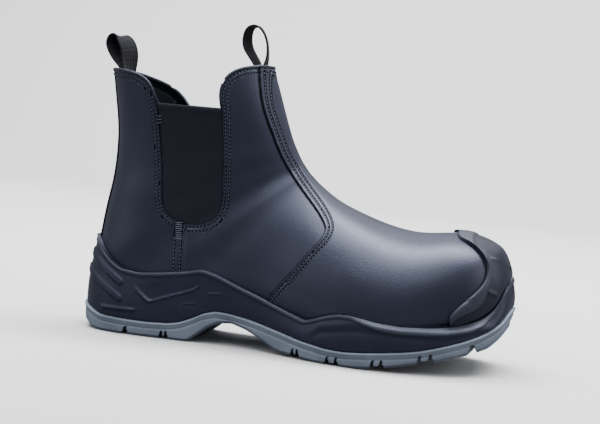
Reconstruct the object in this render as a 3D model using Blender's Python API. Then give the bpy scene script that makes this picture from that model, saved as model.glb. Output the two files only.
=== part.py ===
"""Side gore work boot, the right one of a pair, standing empty on its sole.

Metres, +Z up. The origin is the middle of the heel's tread face, +X runs to the toe and +Y to the
inner (medial) side. Every section of the boot comes from one function of the last's named sizes,
and the pieces are cut between larger and smaller copies of that form.
"""
import math
from collections import namedtuple

import bmesh
import bpy
import numpy as np
from mathutils import Vector
from mathutils.bvhtree import BVHTree

# Driving sizes of the boot
SOLE_LENGTH = 0.3053
HEEL_REACH = 0.0370
BALL_WIDTH = 0.116
SHAFT_HEIGHT = 0.195
INSTEP_HEIGHT = 0.1084
HEEL_HEIGHT = 0.020

# Walls, steps and clearances
UPPER_WALL = 0.0018
STEP_HEIGHT = 0.0012
FIT_GAP = 0.0003
BUMPER_THICKNESS = 0.0022
BUMPER_RIM_RADIUS = 0.0027
GORE_THICKNESS = 0.0011
GORE_SINK = 0.0008
INSOLE_GAP = 0.0004
MIDSOLE_LIP = 0.0022
BEAD_HEIGHT = 0.0034
BEAD_PROUD = 0.0009
PANEL_DEPTH = 0.0013
RIDGE_HEIGHT = 0.0011
BACK_STRIP_WIDTH = 0.022

# Tread
LUG_DEPTH = 0.0052
LUG_TAPER = 0.0016
CHANNEL_WIDTH = 0.0044
CHANNEL_DEPTH = 0.0036
CHANNEL_SHARE = 0.40

# Webbing of the pull loops
WEBBING_WIDTH = 0.016
WEBBING_THICKNESS = 0.0014

# Fineness of the faceted solids
STATIONS = 37
RING_POINTS = 28
OUTLINE_SPACING = 0.0090

# A section of the last runs from its top or front point down to its low or back point. Along is a
# share of the sole's length from the heel's back edge. Rise counts the instep height as 1 and the
# shaft height as 2. Low_rise is a share of the shaft height above the heel height. Widths are
# shares of the ball width, and widest is the share of the section's length with full width.
LastRow = namedtuple(
    "LastRow", "along rise low_along low_rise centre lateral medial widest top_power low_power"
)
OutlineRow = namedtuple("OutlineRow", "along lateral medial")
SidePoint = namedtuple("SidePoint", "along up")
GoreRow = namedtuple("GoreRow", "up back front")
LugGap = namedtuple("LugGap", "along width sweep inner")
RidgeRow = namedtuple("RidgeRow", "along up end_along end_up width")
LoopRow = namedtuple("LoopRow", "along up turn")

LAST_ROWS = (
    LastRow(0.9843, 0.5535, 0.9843, 0.1385, 0.043, 0.112, 0.112, 0.50, 2.20, 2.20),
    LastRow(0.9746, 0.6504, 0.9746, 0.1128, 0.043, 0.172, 0.164, 0.52, 2.30, 2.40),
    LastRow(0.9599, 0.7454, 0.9599, 0.0923, 0.039, 0.250, 0.233, 0.56, 2.30, 2.60),
    LastRow(0.9371, 0.7961, 0.9371, 0.0718, 0.034, 0.328, 0.293, 0.60, 2.30, 3.00),
    LastRow(0.9012, 0.8321, 0.9012, 0.0487, 0.026, 0.405, 0.358, 0.64, 2.30, 3.60),
    LastRow(0.8490, 0.8441, 0.8490, 0.0231, 0.017, 0.466, 0.397, 0.68, 2.25, 4.20),
    LastRow(0.7838, 0.8266, 0.7838, -0.0026, 0.009, 0.509, 0.414, 0.70, 2.20, 4.60),
    LastRow(0.7153, 0.8450, 0.7153, -0.0154, 0.004, 0.517, 0.409, 0.72, 2.15, 4.80),
    LastRow(0.6500, 0.8976, 0.6402, -0.0205, 0.000, 0.496, 0.388, 0.72, 2.10, 4.80),
    LastRow(0.6044, 0.9446, 0.5652, -0.0087, 0.004, 0.457, 0.349, 0.70, 2.10, 4.60),
    LastRow(0.5685, 0.9945, 0.4902, 0.0144, 0.009, 0.409, 0.306, 0.68, 2.15, 4.40),
    LastRow(0.5440, 1.0508, 0.4022, 0.0436, 0.013, 0.362, 0.276, 0.66, 2.20, 4.20),
    LastRow(0.5261, 1.0993, 0.3043, 0.0385, 0.009, 0.332, 0.280, 0.64, 2.25, 4.20),
    LastRow(0.5130, 1.1420, 0.2065, 0.0077, 0.004, 0.310, 0.293, 0.62, 2.30, 4.00),
    LastRow(0.5039, 1.1744, 0.1249, 0.0000, 0.000, 0.306, 0.297, 0.62, 2.30, 3.80),
    LastRow(0.4967, 1.2055, 0.0662, 0.0103, 0.000, 0.297, 0.293, 0.62, 2.30, 3.20),
    LastRow(0.4902, 1.2344, 0.0303, 0.0564, 0.000, 0.293, 0.293, 0.62, 2.30, 2.70),
    LastRow(0.4837, 1.2656, 0.0163, 0.1282, 0.000, 0.297, 0.297, 0.60, 2.30, 2.50),
    LastRow(0.4765, 1.3060, 0.0205, 0.2277, 0.000, 0.297, 0.297, 0.58, 2.30, 2.35),
    LastRow(0.4690, 1.3522, 0.0297, 0.3410, 0.000, 0.302, 0.302, 0.56, 2.30, 2.30),
    LastRow(0.4609, 1.4053, 0.0398, 0.4323, 0.000, 0.306, 0.306, 0.54, 2.30, 2.30),
    LastRow(0.4521, 1.4746, 0.0450, 0.5221, 0.000, 0.315, 0.315, 0.53, 2.30, 2.30),
    LastRow(0.4413, 1.5704, 0.0447, 0.6185, 0.000, 0.332, 0.332, 0.52, 2.30, 2.30),
    LastRow(0.4292, 1.6836, 0.0382, 0.6990, 0.000, 0.349, 0.349, 0.52, 2.30, 2.30),
    LastRow(0.4159, 1.8106, 0.0297, 0.7795, 0.000, 0.362, 0.362, 0.52, 2.30, 2.30),
    LastRow(0.3989, 1.9781, 0.0225, 0.8462, 0.000, 0.371, 0.371, 0.52, 2.30, 2.30),
    LastRow(0.3810, 2.1559, 0.0140, 0.9231, 0.000, 0.379, 0.379, 0.52, 2.30, 2.30),
)
OUTLINE_ROWS = (
    OutlineRow(0.000, 0.000, 0.000),
    OutlineRow(0.007, 0.129, 0.129),
    OutlineRow(0.027, 0.220, 0.216),
    OutlineRow(0.060, 0.284, 0.280),
    OutlineRow(0.099, 0.319, 0.315),
    OutlineRow(0.151, 0.332, 0.328),
    OutlineRow(0.206, 0.332, 0.323),
    OutlineRow(0.272, 0.328, 0.302),
    OutlineRow(0.353, 0.328, 0.272),
    OutlineRow(0.418, 0.349, 0.267),
    OutlineRow(0.484, 0.397, 0.297),
    OutlineRow(0.549, 0.461, 0.345),
    OutlineRow(0.614, 0.517, 0.392),
    OutlineRow(0.679, 0.547, 0.431),
    OutlineRow(0.745, 0.543, 0.453),
    OutlineRow(0.810, 0.513, 0.457),
    OutlineRow(0.869, 0.461, 0.440),
    OutlineRow(0.917, 0.388, 0.397),
    OutlineRow(0.953, 0.302, 0.332),
    OutlineRow(0.980, 0.198, 0.246),
    OutlineRow(0.994, 0.095, 0.164),
    OutlineRow(1.000, -0.043, 0.043),
)
TREAD_LINE = (
    SidePoint(0.000, 0.056),
    SidePoint(0.006, 0.036),
    SidePoint(0.021, 0.016),
    SidePoint(0.040, 0.006),
    SidePoint(0.061, 0.000),
    SidePoint(0.281, 0.000),
    SidePoint(0.304, 0.029),
    SidePoint(0.327, 0.059),
    SidePoint(0.353, 0.078),
    SidePoint(0.383, 0.083),
    SidePoint(0.418, 0.068),
    SidePoint(0.454, 0.045),
    SidePoint(0.480, 0.024),
    SidePoint(0.497, 0.012),
    SidePoint(0.533, 0.007),
    SidePoint(0.568, 0.002),
    SidePoint(0.588, 0.000),
    SidePoint(0.686, 0.000),
    SidePoint(0.725, 0.007),
    SidePoint(0.764, 0.017),
    SidePoint(0.810, 0.033),
    SidePoint(0.869, 0.053),
    SidePoint(0.924, 0.078),
    SidePoint(0.957, 0.097),
    SidePoint(0.978, 0.128),
    SidePoint(0.989, 0.154),
    SidePoint(0.996, 0.174),
    SidePoint(1.000, 0.205),
)
OUTSOLE_TOP = (
    SidePoint(0.000, 0.095),
    SidePoint(0.024, 0.080),
    SidePoint(0.064, 0.059),
    SidePoint(0.119, 0.055),
    SidePoint(0.177, 0.053),
    SidePoint(0.233, 0.057),
    SidePoint(0.262, 0.066),
    SidePoint(0.291, 0.086),
    SidePoint(0.317, 0.108),
    SidePoint(0.343, 0.119),
    SidePoint(0.376, 0.117),
    SidePoint(0.418, 0.108),
    SidePoint(0.480, 0.089),
    SidePoint(0.552, 0.065),
    SidePoint(0.617, 0.052),
    SidePoint(0.657, 0.051),
    SidePoint(0.715, 0.059),
    SidePoint(0.784, 0.072),
    SidePoint(0.823, 0.082),
    SidePoint(0.859, 0.097),
    SidePoint(0.904, 0.118),
    SidePoint(0.942, 0.141),
    SidePoint(0.970, 0.167),
    SidePoint(0.986, 0.190),
    SidePoint(1.000, 0.236),
)
MIDSOLE_TOP = (
    SidePoint(0.000, 0.344),
    SidePoint(0.026, 0.327),
    SidePoint(0.053, 0.292),
    SidePoint(0.079, 0.258),
    SidePoint(0.107, 0.236),
    SidePoint(0.154, 0.228),
    SidePoint(0.204, 0.236),
    SidePoint(0.264, 0.250),
    SidePoint(0.304, 0.264),
    SidePoint(0.340, 0.251),
    SidePoint(0.393, 0.220),
    SidePoint(0.475, 0.178),
    SidePoint(0.516, 0.158),
    SidePoint(0.559, 0.140),
    SidePoint(0.582, 0.152),
    SidePoint(0.604, 0.166),
    SidePoint(0.634, 0.179),
    SidePoint(0.666, 0.181),
    SidePoint(0.699, 0.174),
    SidePoint(0.728, 0.167),
    SidePoint(0.777, 0.161),
    SidePoint(0.834, 0.165),
    SidePoint(0.872, 0.171),
    SidePoint(0.908, 0.182),
    SidePoint(0.940, 0.203),
    SidePoint(0.966, 0.238),
    SidePoint(0.979, 0.285),
    SidePoint(0.989, 0.335),
    SidePoint(1.000, 0.359),
)
COLLAR_BACK = (
    SidePoint(-0.0251, 0.9467),
    SidePoint(0.0238, 0.9426),
    SidePoint(0.0770, 0.9385),
    SidePoint(0.1132, 0.9292),
    SidePoint(0.1331, 0.9164),
    SidePoint(0.1487, 0.8949),
    SidePoint(0.1594, 0.8641),
    SidePoint(0.1674, 0.8308),
)
COLLAR_BACK_MEDIAL = (
    SidePoint(-0.0251, 0.9467),
    SidePoint(0.0238, 0.9426),
    SidePoint(0.0466, 0.9364),
    SidePoint(0.0643, 0.9282),
    SidePoint(0.0903, 0.9154),
    SidePoint(0.1168, 0.8990),
    SidePoint(0.1370, 0.8795),
    SidePoint(0.1529, 0.8574),
    SidePoint(0.1674, 0.8308),
)
COLLAR_FRONT = (
    SidePoint(0.3190, 0.8308),
    SidePoint(0.3132, 0.8769),
    SidePoint(0.3176, 0.9236),
    SidePoint(0.3284, 0.9538),
    SidePoint(0.3480, 0.9774),
    SidePoint(0.3819, 0.9949),
    SidePoint(0.4119, 0.9990),
    SidePoint(0.4641, 0.9949),
)
GORE_ROWS = (
    GoreRow(0.8385, 0.1683, 0.3187),
    GoreRow(0.6359, 0.1860, 0.3275),
    GoreRow(0.5231, 0.1928, 0.3301),
    GoreRow(0.4682, 0.1987, 0.3262),
    GoreRow(0.4385, 0.2160, 0.3112),
    GoreRow(0.4215, 0.2401, 0.2877),
    GoreRow(0.4169, 0.2616, 0.2655),
)
VAMP_SEAM = (
    SidePoint(0.3695, 1.0872),
    SidePoint(0.3878, 0.9662),
    SidePoint(0.4074, 0.8415),
    SidePoint(0.4250, 0.7749),
    SidePoint(0.4442, 0.7082),
    SidePoint(0.4644, 0.6533),
    SidePoint(0.4896, 0.6046),
    SidePoint(0.5189, 0.5574),
    SidePoint(0.5476, 0.5154),
    SidePoint(0.5698, 0.4785),
    SidePoint(0.5796, 0.4508),
    SidePoint(0.5757, 0.4221),
    SidePoint(0.5610, 0.3897),
    SidePoint(0.5303, 0.3231),
    SidePoint(0.4993, 0.2605),
    SidePoint(0.4641, 0.1846),
    SidePoint(0.4315, 0.0923),
)
BUMPER_RIM = (
    SidePoint(0.8457, 0.5077),
    SidePoint(0.8604, 0.4667),
    SidePoint(0.8933, 0.4446),
    SidePoint(0.9211, 0.4174),
    SidePoint(0.9377, 0.3749),
    SidePoint(0.9357, 0.3272),
    SidePoint(0.9155, 0.2815),
    SidePoint(0.8865, 0.2328),
    SidePoint(0.8731, 0.1950),
    SidePoint(0.8740, 0.1800),
)
FOOTBED_LINE = (
    SidePoint(-0.025, 0.128),
    SidePoint(0.060, 0.126),
    SidePoint(0.125, 0.126),
    SidePoint(0.190, 0.131),
    SidePoint(0.255, 0.148),
    SidePoint(0.321, 0.166),
    SidePoint(0.386, 0.169),
    SidePoint(0.451, 0.153),
    SidePoint(0.516, 0.131),
    SidePoint(0.582, 0.115),
    SidePoint(0.647, 0.106),
    SidePoint(0.712, 0.110),
    SidePoint(0.777, 0.123),
    SidePoint(0.849, 0.149),
    SidePoint(0.901, 0.174),
    SidePoint(0.940, 0.201),
    SidePoint(0.966, 0.226),
    SidePoint(1.012, 0.277),
)

# Plan places where the sole's outline always has a point: heel front, arch ends and notch
OUTLINE_BREAKS = (0.281, 0.305, 0.481, 0.498, 0.559)

# Recessed blade on each side of the heel, and how far down the back strip shows
PANEL_BLADE = (
    SidePoint(0.152, 0.176),
    SidePoint(0.156, 0.183),
    SidePoint(0.216, 0.198),
    SidePoint(0.281, 0.213),
    SidePoint(0.299, 0.205),
    SidePoint(0.286, 0.186),
    SidePoint(0.237, 0.159),
    SidePoint(0.193, 0.133),
    SidePoint(0.184, 0.132),
    SidePoint(0.156, 0.159),
)
BACK_STRIP_LOW = 0.25
LUG_GAP_REACH = 0.081
GORE_TOP = 0.832
SOLE_LEDGE = 0.0010
SOLE_ROUND = 0.0004
SOLE_EDGE_DEPTH = 0.005
SEARCH_REACH = 0.03
GUARD_GROOVE = 0.0006
PRISM_REACH = BALL_WIDTH
CUT_PAST = SHAFT_HEIGHT * 0.24
COLLAR_LAP = 0.0001
GORE_INNER = 0.01
BACK_STRIP_DEPTH = 0.14
CHANNEL_SPANS = ((0.075, 0.262), (0.515, 0.905))

# Toe guard: its lines run from the rim to its base. A row of its profile is one line of points
# along the rim: its reach from the rim's edge in rim radii, at most this share of the way, how far
# it is spread from there to the base, its rise over the guard's face in rim radii, and how much of
# the ribs it carries.
GUARD_LINES = 21
GUARD_RIBS = (0.255, 0.405)
RIB_SPREAD = 0.012
RIB_HEIGHT = 0.0013
GUARD_BED = 0.0009
GUARD_END = 0.0025
GUARD_TIP = 0.9794
GUARD_LEAN = 0.0028
UPRIGHT_ROWS = 7
SKIN_STEP = 0.02
GuardRow = namedtuple("GuardRow", "reach most spread rise rib")
GUARD_PROFILE = (
    GuardRow(0.0, 0.0, 0.0, -0.45, 0),
    GuardRow(0.25, 0.08, 0.0, 0.30, 0),
    GuardRow(0.80, 0.20, 0.0, 0.66, 0),
    GuardRow(1.55, 0.34, 0.0, 0.50, 0),
    GuardRow(2.30, 0.48, 0.0, 0.06, 0.2),
    GuardRow(2.30, 0.48, 0.22, 0.0, 1.0),
    GuardRow(2.30, 0.48, 0.45, 0.0, 1.0),
    GuardRow(2.30, 0.48, 0.67, 0.0, 0.9),
    GuardRow(2.30, 0.48, 0.86, 0.0, 0.5),
    GuardRow(2.30, 0.48, 1.0, -0.35, 0),
)

# Gaps between the main lugs: where each is along the sole, its width as a share of the sole's
# length, how far its outer ends run back or forward of its middle, and the share of its reach
# that stays uncut on each side of the middle.
LUG_GAPS = (
    LugGap(0.1285, 0.0150, 0.010, 0.18),
    LugGap(0.2190, 0.0240, 0.014, 0.18),
    LugGap(0.5530, 0.0240, -0.014, 0.0),
    LugGap(0.6470, 0.0330, -0.020, 0.0),
    LugGap(0.7495, 0.0310, -0.022, 0.0),
    LugGap(0.8470, 0.0340, -0.020, 0.0),
    LugGap(0.9330, 0.0170, -0.012, 0.0),
)

# Raised bars round the heel, each from one side point to another
HEEL_RIDGES = (
    RidgeRow(0.000, 0.300, 0.082, 0.214, 0.010),
    RidgeRow(0.000, 0.236, 0.112, 0.127, 0.010),
    RidgeRow(0.082, 0.088, 0.142, 0.091, 0.008),
)

# Pull loop centre lines, with the webbing's turn about the vertical in degrees
BACK_LOOP = (
    LoopRow(0.0512, 0.840, 0),
    LoopRow(0.0450, 0.905, 0),
    LoopRow(0.0395, 0.947, 4),
    LoopRow(0.0264, 0.982, 20),
    LoopRow(0.0134, 1.022, 30),
    LoopRow(0.0127, 1.050, 32),
    LoopRow(0.0225, 1.063, 32),
    LoopRow(0.0369, 1.050, 32),
    LoopRow(0.0473, 1.021, 31),
    LoopRow(0.0512, 0.985, 28),
    LoopRow(0.0532, 0.947, 16),
    LoopRow(0.0577, 0.905, 4),
    LoopRow(0.0633, 0.840, 0),
)
FRONT_LOOP = (
    LoopRow(0.3976, 0.860, 0),
    LoopRow(0.3855, 0.930, 0),
    LoopRow(0.3796, 0.985, -2),
    LoopRow(0.3826, 1.018, -8),
    LoopRow(0.3832, 1.051, -11),
    LoopRow(0.3790, 1.087, -12),
    LoopRow(0.3679, 1.122, -10),
    LoopRow(0.3516, 1.139, -4),
    LoopRow(0.3369, 1.126, 4),
    LoopRow(0.3324, 1.090, 9),
    LoopRow(0.3382, 1.054, 12),
    LoopRow(0.3539, 1.019, 10),
    LoopRow(0.3650, 0.985, 4),
    LoopRow(0.3725, 0.930, 0),
    LoopRow(0.3845, 0.860, 0),
)

PARTS = "side_gore_boot"
CUTTERS = "side_gore_boot_cutters"


def clear_scene():
    for item in list(bpy.data.objects):
        bpy.data.objects.remove(item, do_unlink=True)
    for name in (PARTS, CUTTERS):
        folder = bpy.data.collections.new(name)
        bpy.context.scene.collection.children.link(folder)


def material(name, colour, roughness):
    shade = bpy.data.materials.new(name)
    shade.use_nodes = True
    shader = shade.node_tree.nodes["Principled BSDF"]
    shader.inputs["Base Color"].default_value = (*colour, 1.0)
    shader.inputs["Roughness"].default_value = roughness
    shader.inputs["Metallic"].default_value = 0.0
    return shade


def along(share):
    return share * SOLE_LENGTH - HEEL_REACH


def curve_through(knots, values, wanted):
    """Natural cubic spline through the values at the knots."""
    knots = np.asarray(knots, float)
    values = np.asarray(values, float)
    step = np.diff(knots)
    count = len(knots)
    matrix = np.eye(count)
    right = np.zeros(count)
    for i in range(1, count - 1):
        matrix[i, i - 1] = step[i - 1]
        matrix[i, i] = 2 * (step[i - 1] + step[i])
        matrix[i, i + 1] = step[i]
        right[i] = 6 * ((values[i + 1] - values[i]) / step[i] - (values[i] - values[i - 1]) / step[i - 1])
    bend = np.linalg.solve(matrix, right)
    wanted = np.asarray(wanted, float)
    cell = np.clip(np.searchsorted(knots, wanted) - 1, 0, count - 2)
    width = step[cell]
    before = (knots[cell + 1] - wanted) / width
    after = 1 - before
    smooth = (before**3 - before) * bend[cell] + (after**3 - after) * bend[cell + 1]
    return before * values[cell] + after * values[cell + 1] + smooth * width**2 / 6


def side_line(rows):
    """Side view points of a table as metres: one array of x and one of z."""
    return np.array([along(row.along) for row in rows]), np.array([row.up * SHAFT_HEIGHT for row in rows])


def height_at(rows, x):
    """Height of a side line at x, held level past its ends."""
    xs, zs = side_line(rows)
    return np.interp(x, xs, zs)


def rise_height(rise):
    low = np.minimum(rise, 1.0) * INSTEP_HEIGHT
    return low + np.maximum(rise - 1.0, 0.0) * (SHAFT_HEIGHT - INSTEP_HEIGHT)


def last_points(station, turn):
    """Points of the last's skin at row numbers and turns about each section, nought at its top."""
    station, turn = np.broadcast_arrays(np.asarray(station, float), np.asarray(turn, float))
    knots = np.arange(len(LAST_ROWS))
    wanted = np.clip(station.ravel(), 0, len(LAST_ROWS) - 1)
    column = {name: curve_through(knots, [getattr(row, name) for row in LAST_ROWS], wanted)
              for name in LastRow._fields}
    turn = turn.ravel()
    top = np.stack([along(column["along"]), rise_height(column["rise"])], axis=1)
    low = np.stack([along(column["low_along"]), HEEL_HEIGHT + column["low_rise"] * SHAFT_HEIGHT], axis=1)
    facing = np.cos(turn)
    power = np.where(facing > 0, column["top_power"], column["low_power"])
    reach = np.abs(facing) ** (2 / power)
    widest = column["widest"]
    share = np.where(facing > 0, widest * (1 - reach), widest + (1 - widest) * reach)
    spread = np.abs(np.sin(turn)) ** (2 / power)
    across = np.where(np.sin(turn) > 0, -column["lateral"], column["medial"]) * spread
    side = top + share[:, None] * (low - top)
    points = np.stack([side[:, 0], (column["centre"] + across) * BALL_WIDTH, side[:, 1]], axis=1)
    return points.reshape(*station.shape, 3)


def last_grid(stations=STATIONS, points=RING_POINTS):
    """One ring of skin points for each station, from the toe to above the collar."""
    station = np.linspace(0, len(LAST_ROWS) - 1, stations)
    turn = np.arange(points) * 2 * math.pi / points
    return last_points(station[:, None], turn[None, :])


def skin_points(station, turn, offset):
    """Points at an offset from the skin, straight out from it."""
    station = np.maximum(station, SKIN_STEP)
    points = last_points(station, turn)
    down = last_points(station + SKIN_STEP, turn) - last_points(station - SKIN_STEP, turn)
    around = last_points(station, turn + SKIN_STEP) - last_points(station, turn - SKIN_STEP)
    outward = np.cross(around, down)
    outward /= np.linalg.norm(outward, axis=-1, keepdims=True)
    middle = (last_points(station, 0 * turn) + last_points(station, 0 * turn + math.pi)) / 2
    facing = np.sign(np.sum(outward * (points - middle), axis=-1, keepdims=True))
    return points + outward * facing * np.asarray(offset)[..., None]


def skin_directions(rings):
    """Outward direction at each point of the last, leaning past the two closed ends."""
    down = np.gradient(rings, axis=0)
    around = np.roll(rings, -1, axis=1) - np.roll(rings, 1, axis=1)
    outward = np.cross(around, down)
    outward /= np.linalg.norm(outward, axis=2, keepdims=True)
    middle = rings.mean(axis=1, keepdims=True)
    if np.sum(outward * (rings - middle)) < 0:
        outward = -outward
    outward[0] = outward[0] * 0.8 + np.array([0.9, 0.0, 0.0])
    outward[-1] = outward[-1] + np.array([0.0, 0.0, 1.0])
    return outward


def link(item, folder, shade=None):
    bpy.data.collections[folder].objects.link(item)
    if folder == CUTTERS:
        item.hide_render = True
        item.display_type = "WIRE"
    if shade:
        item.data.materials.append(shade)
    return item


def loft(name, rings, folder=CUTTERS, shade=None):
    """Closed body through rings of points, each end closed by a fan about its middle."""
    count, points = rings.shape[:2]
    body = bmesh.new()
    grid = [[body.verts.new(point) for point in ring] for ring in rings]
    for i in range(count - 1):
        for j in range(points):
            k = (j + 1) % points
            body.faces.new((grid[i][j], grid[i][k], grid[i + 1][k], grid[i + 1][j]))
    for end in (0, -1):
        centre = body.verts.new(rings[end].mean(axis=0))
        for j in range(points):
            body.faces.new((grid[end][j], grid[end][(j + 1) % points], centre))
    bmesh.ops.recalc_face_normals(body, faces=body.faces)
    mesh = bpy.data.meshes.new(name)
    body.to_mesh(mesh)
    body.free()
    mesh.shade_smooth()
    mesh.set_sharp_from_angle(angle=math.radians(40))
    return link(bpy.data.objects.new(name, mesh), folder, shade)


def last_form(name, offset, folder=CUTTERS, shade=None):
    """The last's form, grown or shrunk by the offset."""
    rings = last_grid()
    return loft(name, rings + skin_directions(rings) * offset, folder, shade)


def side_prism(name, xs, zs, reach=(-PRISM_REACH, PRISM_REACH)):
    """Side view outline drawn out across the boot."""
    near, far = reach
    body = bmesh.new()
    verts = [body.verts.new((x, near, z)) for x, z in zip(xs, zs)]
    face = body.faces.new(verts)
    drawn = bmesh.ops.extrude_face_region(body, geom=[face])
    moved = [item for item in drawn["geom"] if isinstance(item, bmesh.types.BMVert)]
    bmesh.ops.translate(body, verts=moved, vec=(0, far - near, 0))
    bmesh.ops.recalc_face_normals(body, faces=body.faces)
    mesh = bpy.data.meshes.new(name)
    body.to_mesh(mesh)
    body.free()
    return link(bpy.data.objects.new(name, mesh), CUTTERS)


def combine(item, tool, operation):
    step = item.modifiers.new(tool.name, "BOOLEAN")
    step.operation = operation
    step.solver = "EXACT"
    step.object = tool
    return item


def sole_outline():
    """Paired plan points of the sole's two sides, from the heel's back to the toe."""
    shares = np.array([row.along for row in OUTLINE_ROWS])
    angle = np.arccos(1 - 2 * shares) / math.pi
    fine = np.linspace(0, 1, 2001)
    fine_share = (1 - np.cos(fine * math.pi)) / 2
    lateral = curve_through(angle, [row.lateral for row in OUTLINE_ROWS], fine) * BALL_WIDTH
    medial = curve_through(angle, [row.medial for row in OUTLINE_ROWS], fine) * BALL_WIDTH
    x = along(fine_share)
    run = np.hypot(np.gradient(x), np.gradient((lateral + medial) / 2))
    run = np.concatenate([[0], np.cumsum((run[1:] + run[:-1]) / 2)])
    count = max(8, round(run[-1] / OUTLINE_SPACING))
    places = np.interp(np.linspace(0, run[-1], count), run, x)
    kept = [along(share) for share in OUTLINE_BREAKS]
    free = [place for place in places if min(abs(place - stop) for stop in kept) > OUTLINE_SPACING * 0.4]
    xs = np.sort(np.array(free + kept))
    return xs, np.interp(xs, x, lateral), np.interp(xs, x, medial)


def outline_loop():
    """The sole's plan outline as one closed loop with its outward directions."""
    xs, lateral, medial = sole_outline()
    inner = slice(1, -1)
    near = np.stack([xs, -lateral], axis=1)
    far = np.stack([xs[inner], medial[inner]], axis=1)[::-1]
    loop = np.concatenate([near, far])
    tangent = np.roll(loop, -1, axis=0) - np.roll(loop, 1, axis=0)
    outward = np.stack([tangent[:, 1], -tangent[:, 0]], axis=1)
    outward /= np.linalg.norm(outward, axis=1, keepdims=True)
    return loop, outward


def ring_body(name, levels, folder=CUTTERS, shade=None):
    """Closed body through closed levels, lowest first, with strips across its floor and its top."""
    body = bmesh.new()
    grid = [[body.verts.new(point) for point in level] for level in levels]
    count = len(levels[0])
    for low, high in zip(grid, grid[1:]):
        for j in range(count):
            k = (j + 1) % count
            body.faces.new((low[j], low[k], high[k], high[j]))
    half = count // 2
    for ring in (grid[0], grid[-1]):
        body.faces.new((ring[0], ring[1], ring[-1]))
        for j in range(1, half - 1):
            body.faces.new((ring[j], ring[j + 1], ring[-j - 1], ring[-j]))
        body.faces.new((ring[half - 1], ring[half], ring[half + 1]))
    bmesh.ops.recalc_face_normals(body, faces=body.faces)
    mesh = bpy.data.meshes.new(name)
    body.to_mesh(mesh)
    body.free()
    mesh.shade_smooth()
    mesh.set_sharp_from_angle(angle=math.radians(40))
    return link(bpy.data.objects.new(name, mesh), folder, shade)


def skin_tree(offset=0.0):
    rings = last_grid()
    rings = rings + skin_directions(rings) * offset
    count, points = rings.shape[:2]
    verts = [Vector(point) for point in rings.reshape(-1, 3)]
    faces = []
    for i in range(count - 1):
        for j in range(points):
            k = (j + 1) % points
            faces.append((i * points + j, i * points + k, (i + 1) * points + k, (i + 1) * points + j))
    faces.append(tuple(range(points)))
    faces.append(tuple(range((count - 1) * points, count * points)))
    return BVHTree.FromPolygons(verts, faces)


def lip_inset(loop, outward):
    """How far the midsole's lip stands inside the sole's outline, so that it hugs the upper."""
    tree = skin_tree()
    inset = np.zeros(len(loop))
    for _ in range(3):
        high = height_at(MIDSOLE_TOP, (loop - outward * inset[:, None])[:, 0])
        for i, (point, way) in enumerate(zip(loop, outward)):
            origin = Vector((*(point + way * SEARCH_REACH), high[i]))
            hit = tree.ray_cast(origin, Vector((-way[0], -way[1], 0.0)), 2 * SEARCH_REACH)
            if hit[0] is not None:
                inset[i] = hit[3] - SEARCH_REACH - MIDSOLE_LIP
        inset = np.clip(inset, -0.006, 0.007)
        inset = (np.roll(inset, 1) + 2 * inset + np.roll(inset, -1)) / 4
    return inset


def midsole_levels(extra=0.0):
    """Levels of the midsole's outer form, grown by the extra."""
    loop, outward = outline_loop()
    inset = lip_inset(loop, outward)
    low = height_at(OUTSOLE_TOP, loop[:, 0]) + FIT_GAP
    high = height_at(MIDSOLE_TOP, (loop - outward * inset[:, None])[:, 0])
    deep = MIDSOLE_LIP + SOLE_EDGE_DEPTH
    steps = (
        (0.0, SOLE_LEDGE + SOLE_ROUND, 0.0),
        (0.0, SOLE_LEDGE, 0.0016),
        (0.30, SOLE_LEDGE - 0.0006, 0.0),
        (0.66, BEAD_PROUD * 0.6, 0.0),
        (1.0, BEAD_PROUD, -BEAD_HEIGHT - 0.0006),
        (1.0, 0.0, -BEAD_HEIGHT + 0.0008),
        (1.0, 0.0, -0.0011),
        (1.0, 0.0012, 0.0),
        (1.0, deep, 0.0),
    )
    levels = []
    for share, added, lift in steps:
        back = inset * share**1.6 + added - (extra if added < deep else 0.0)
        place = loop - outward * back[:, None]
        height = low + (high - low) * share + lift
        if share == 0.0 and lift == 0.0:
            height = height_at(OUTSOLE_TOP, place[:, 0]) + FIT_GAP
        if share == 1.0 and lift == 0.0:
            height = height_at(MIDSOLE_TOP, place[:, 0])
        levels.append(np.column_stack([place, height]))
    return levels


def make_midsole(shade):
    midsole = ring_body("midsole", midsole_levels(), PARTS, shade)
    core = ring_body("midsole_core", midsole_levels(-PANEL_DEPTH))
    panel = side_prism("panel_cutter", *side_line(PANEL_BLADE))
    combine(panel, core, "DIFFERENCE")
    combine(midsole, panel, "DIFFERENCE")
    shell = ring_body("ridge_shell", midsole_levels(RIDGE_HEIGHT))
    for number, row in enumerate(HEEL_RIDGES, start=1):
        bar = ridge_prism(f"heel_ridge_{number}", row)
        combine(bar, shell, "INTERSECT")
        combine(midsole, bar, "UNION")
    combine(midsole, last_form("midsole_cavity", FIT_GAP), "DIFFERENCE")
    return midsole


def ridge_prism(name, row):
    """Side view bar between two points, with tapered ends."""
    start = np.array([along(row.along), row.up * SHAFT_HEIGHT])
    end = np.array([along(row.end_along), row.end_up * SHAFT_HEIGHT])
    way = (end - start) / np.linalg.norm(end - start)
    across = np.array([-way[1], way[0]]) * row.width * SHAFT_HEIGHT
    lead = way * row.width * SHAFT_HEIGHT
    corners = (start - lead, start + across, end + across * 0.7, end + lead * 2, end - across * 0.7, start - across)
    return side_prism(name, [point[0] for point in corners], [point[1] for point in corners])


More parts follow.
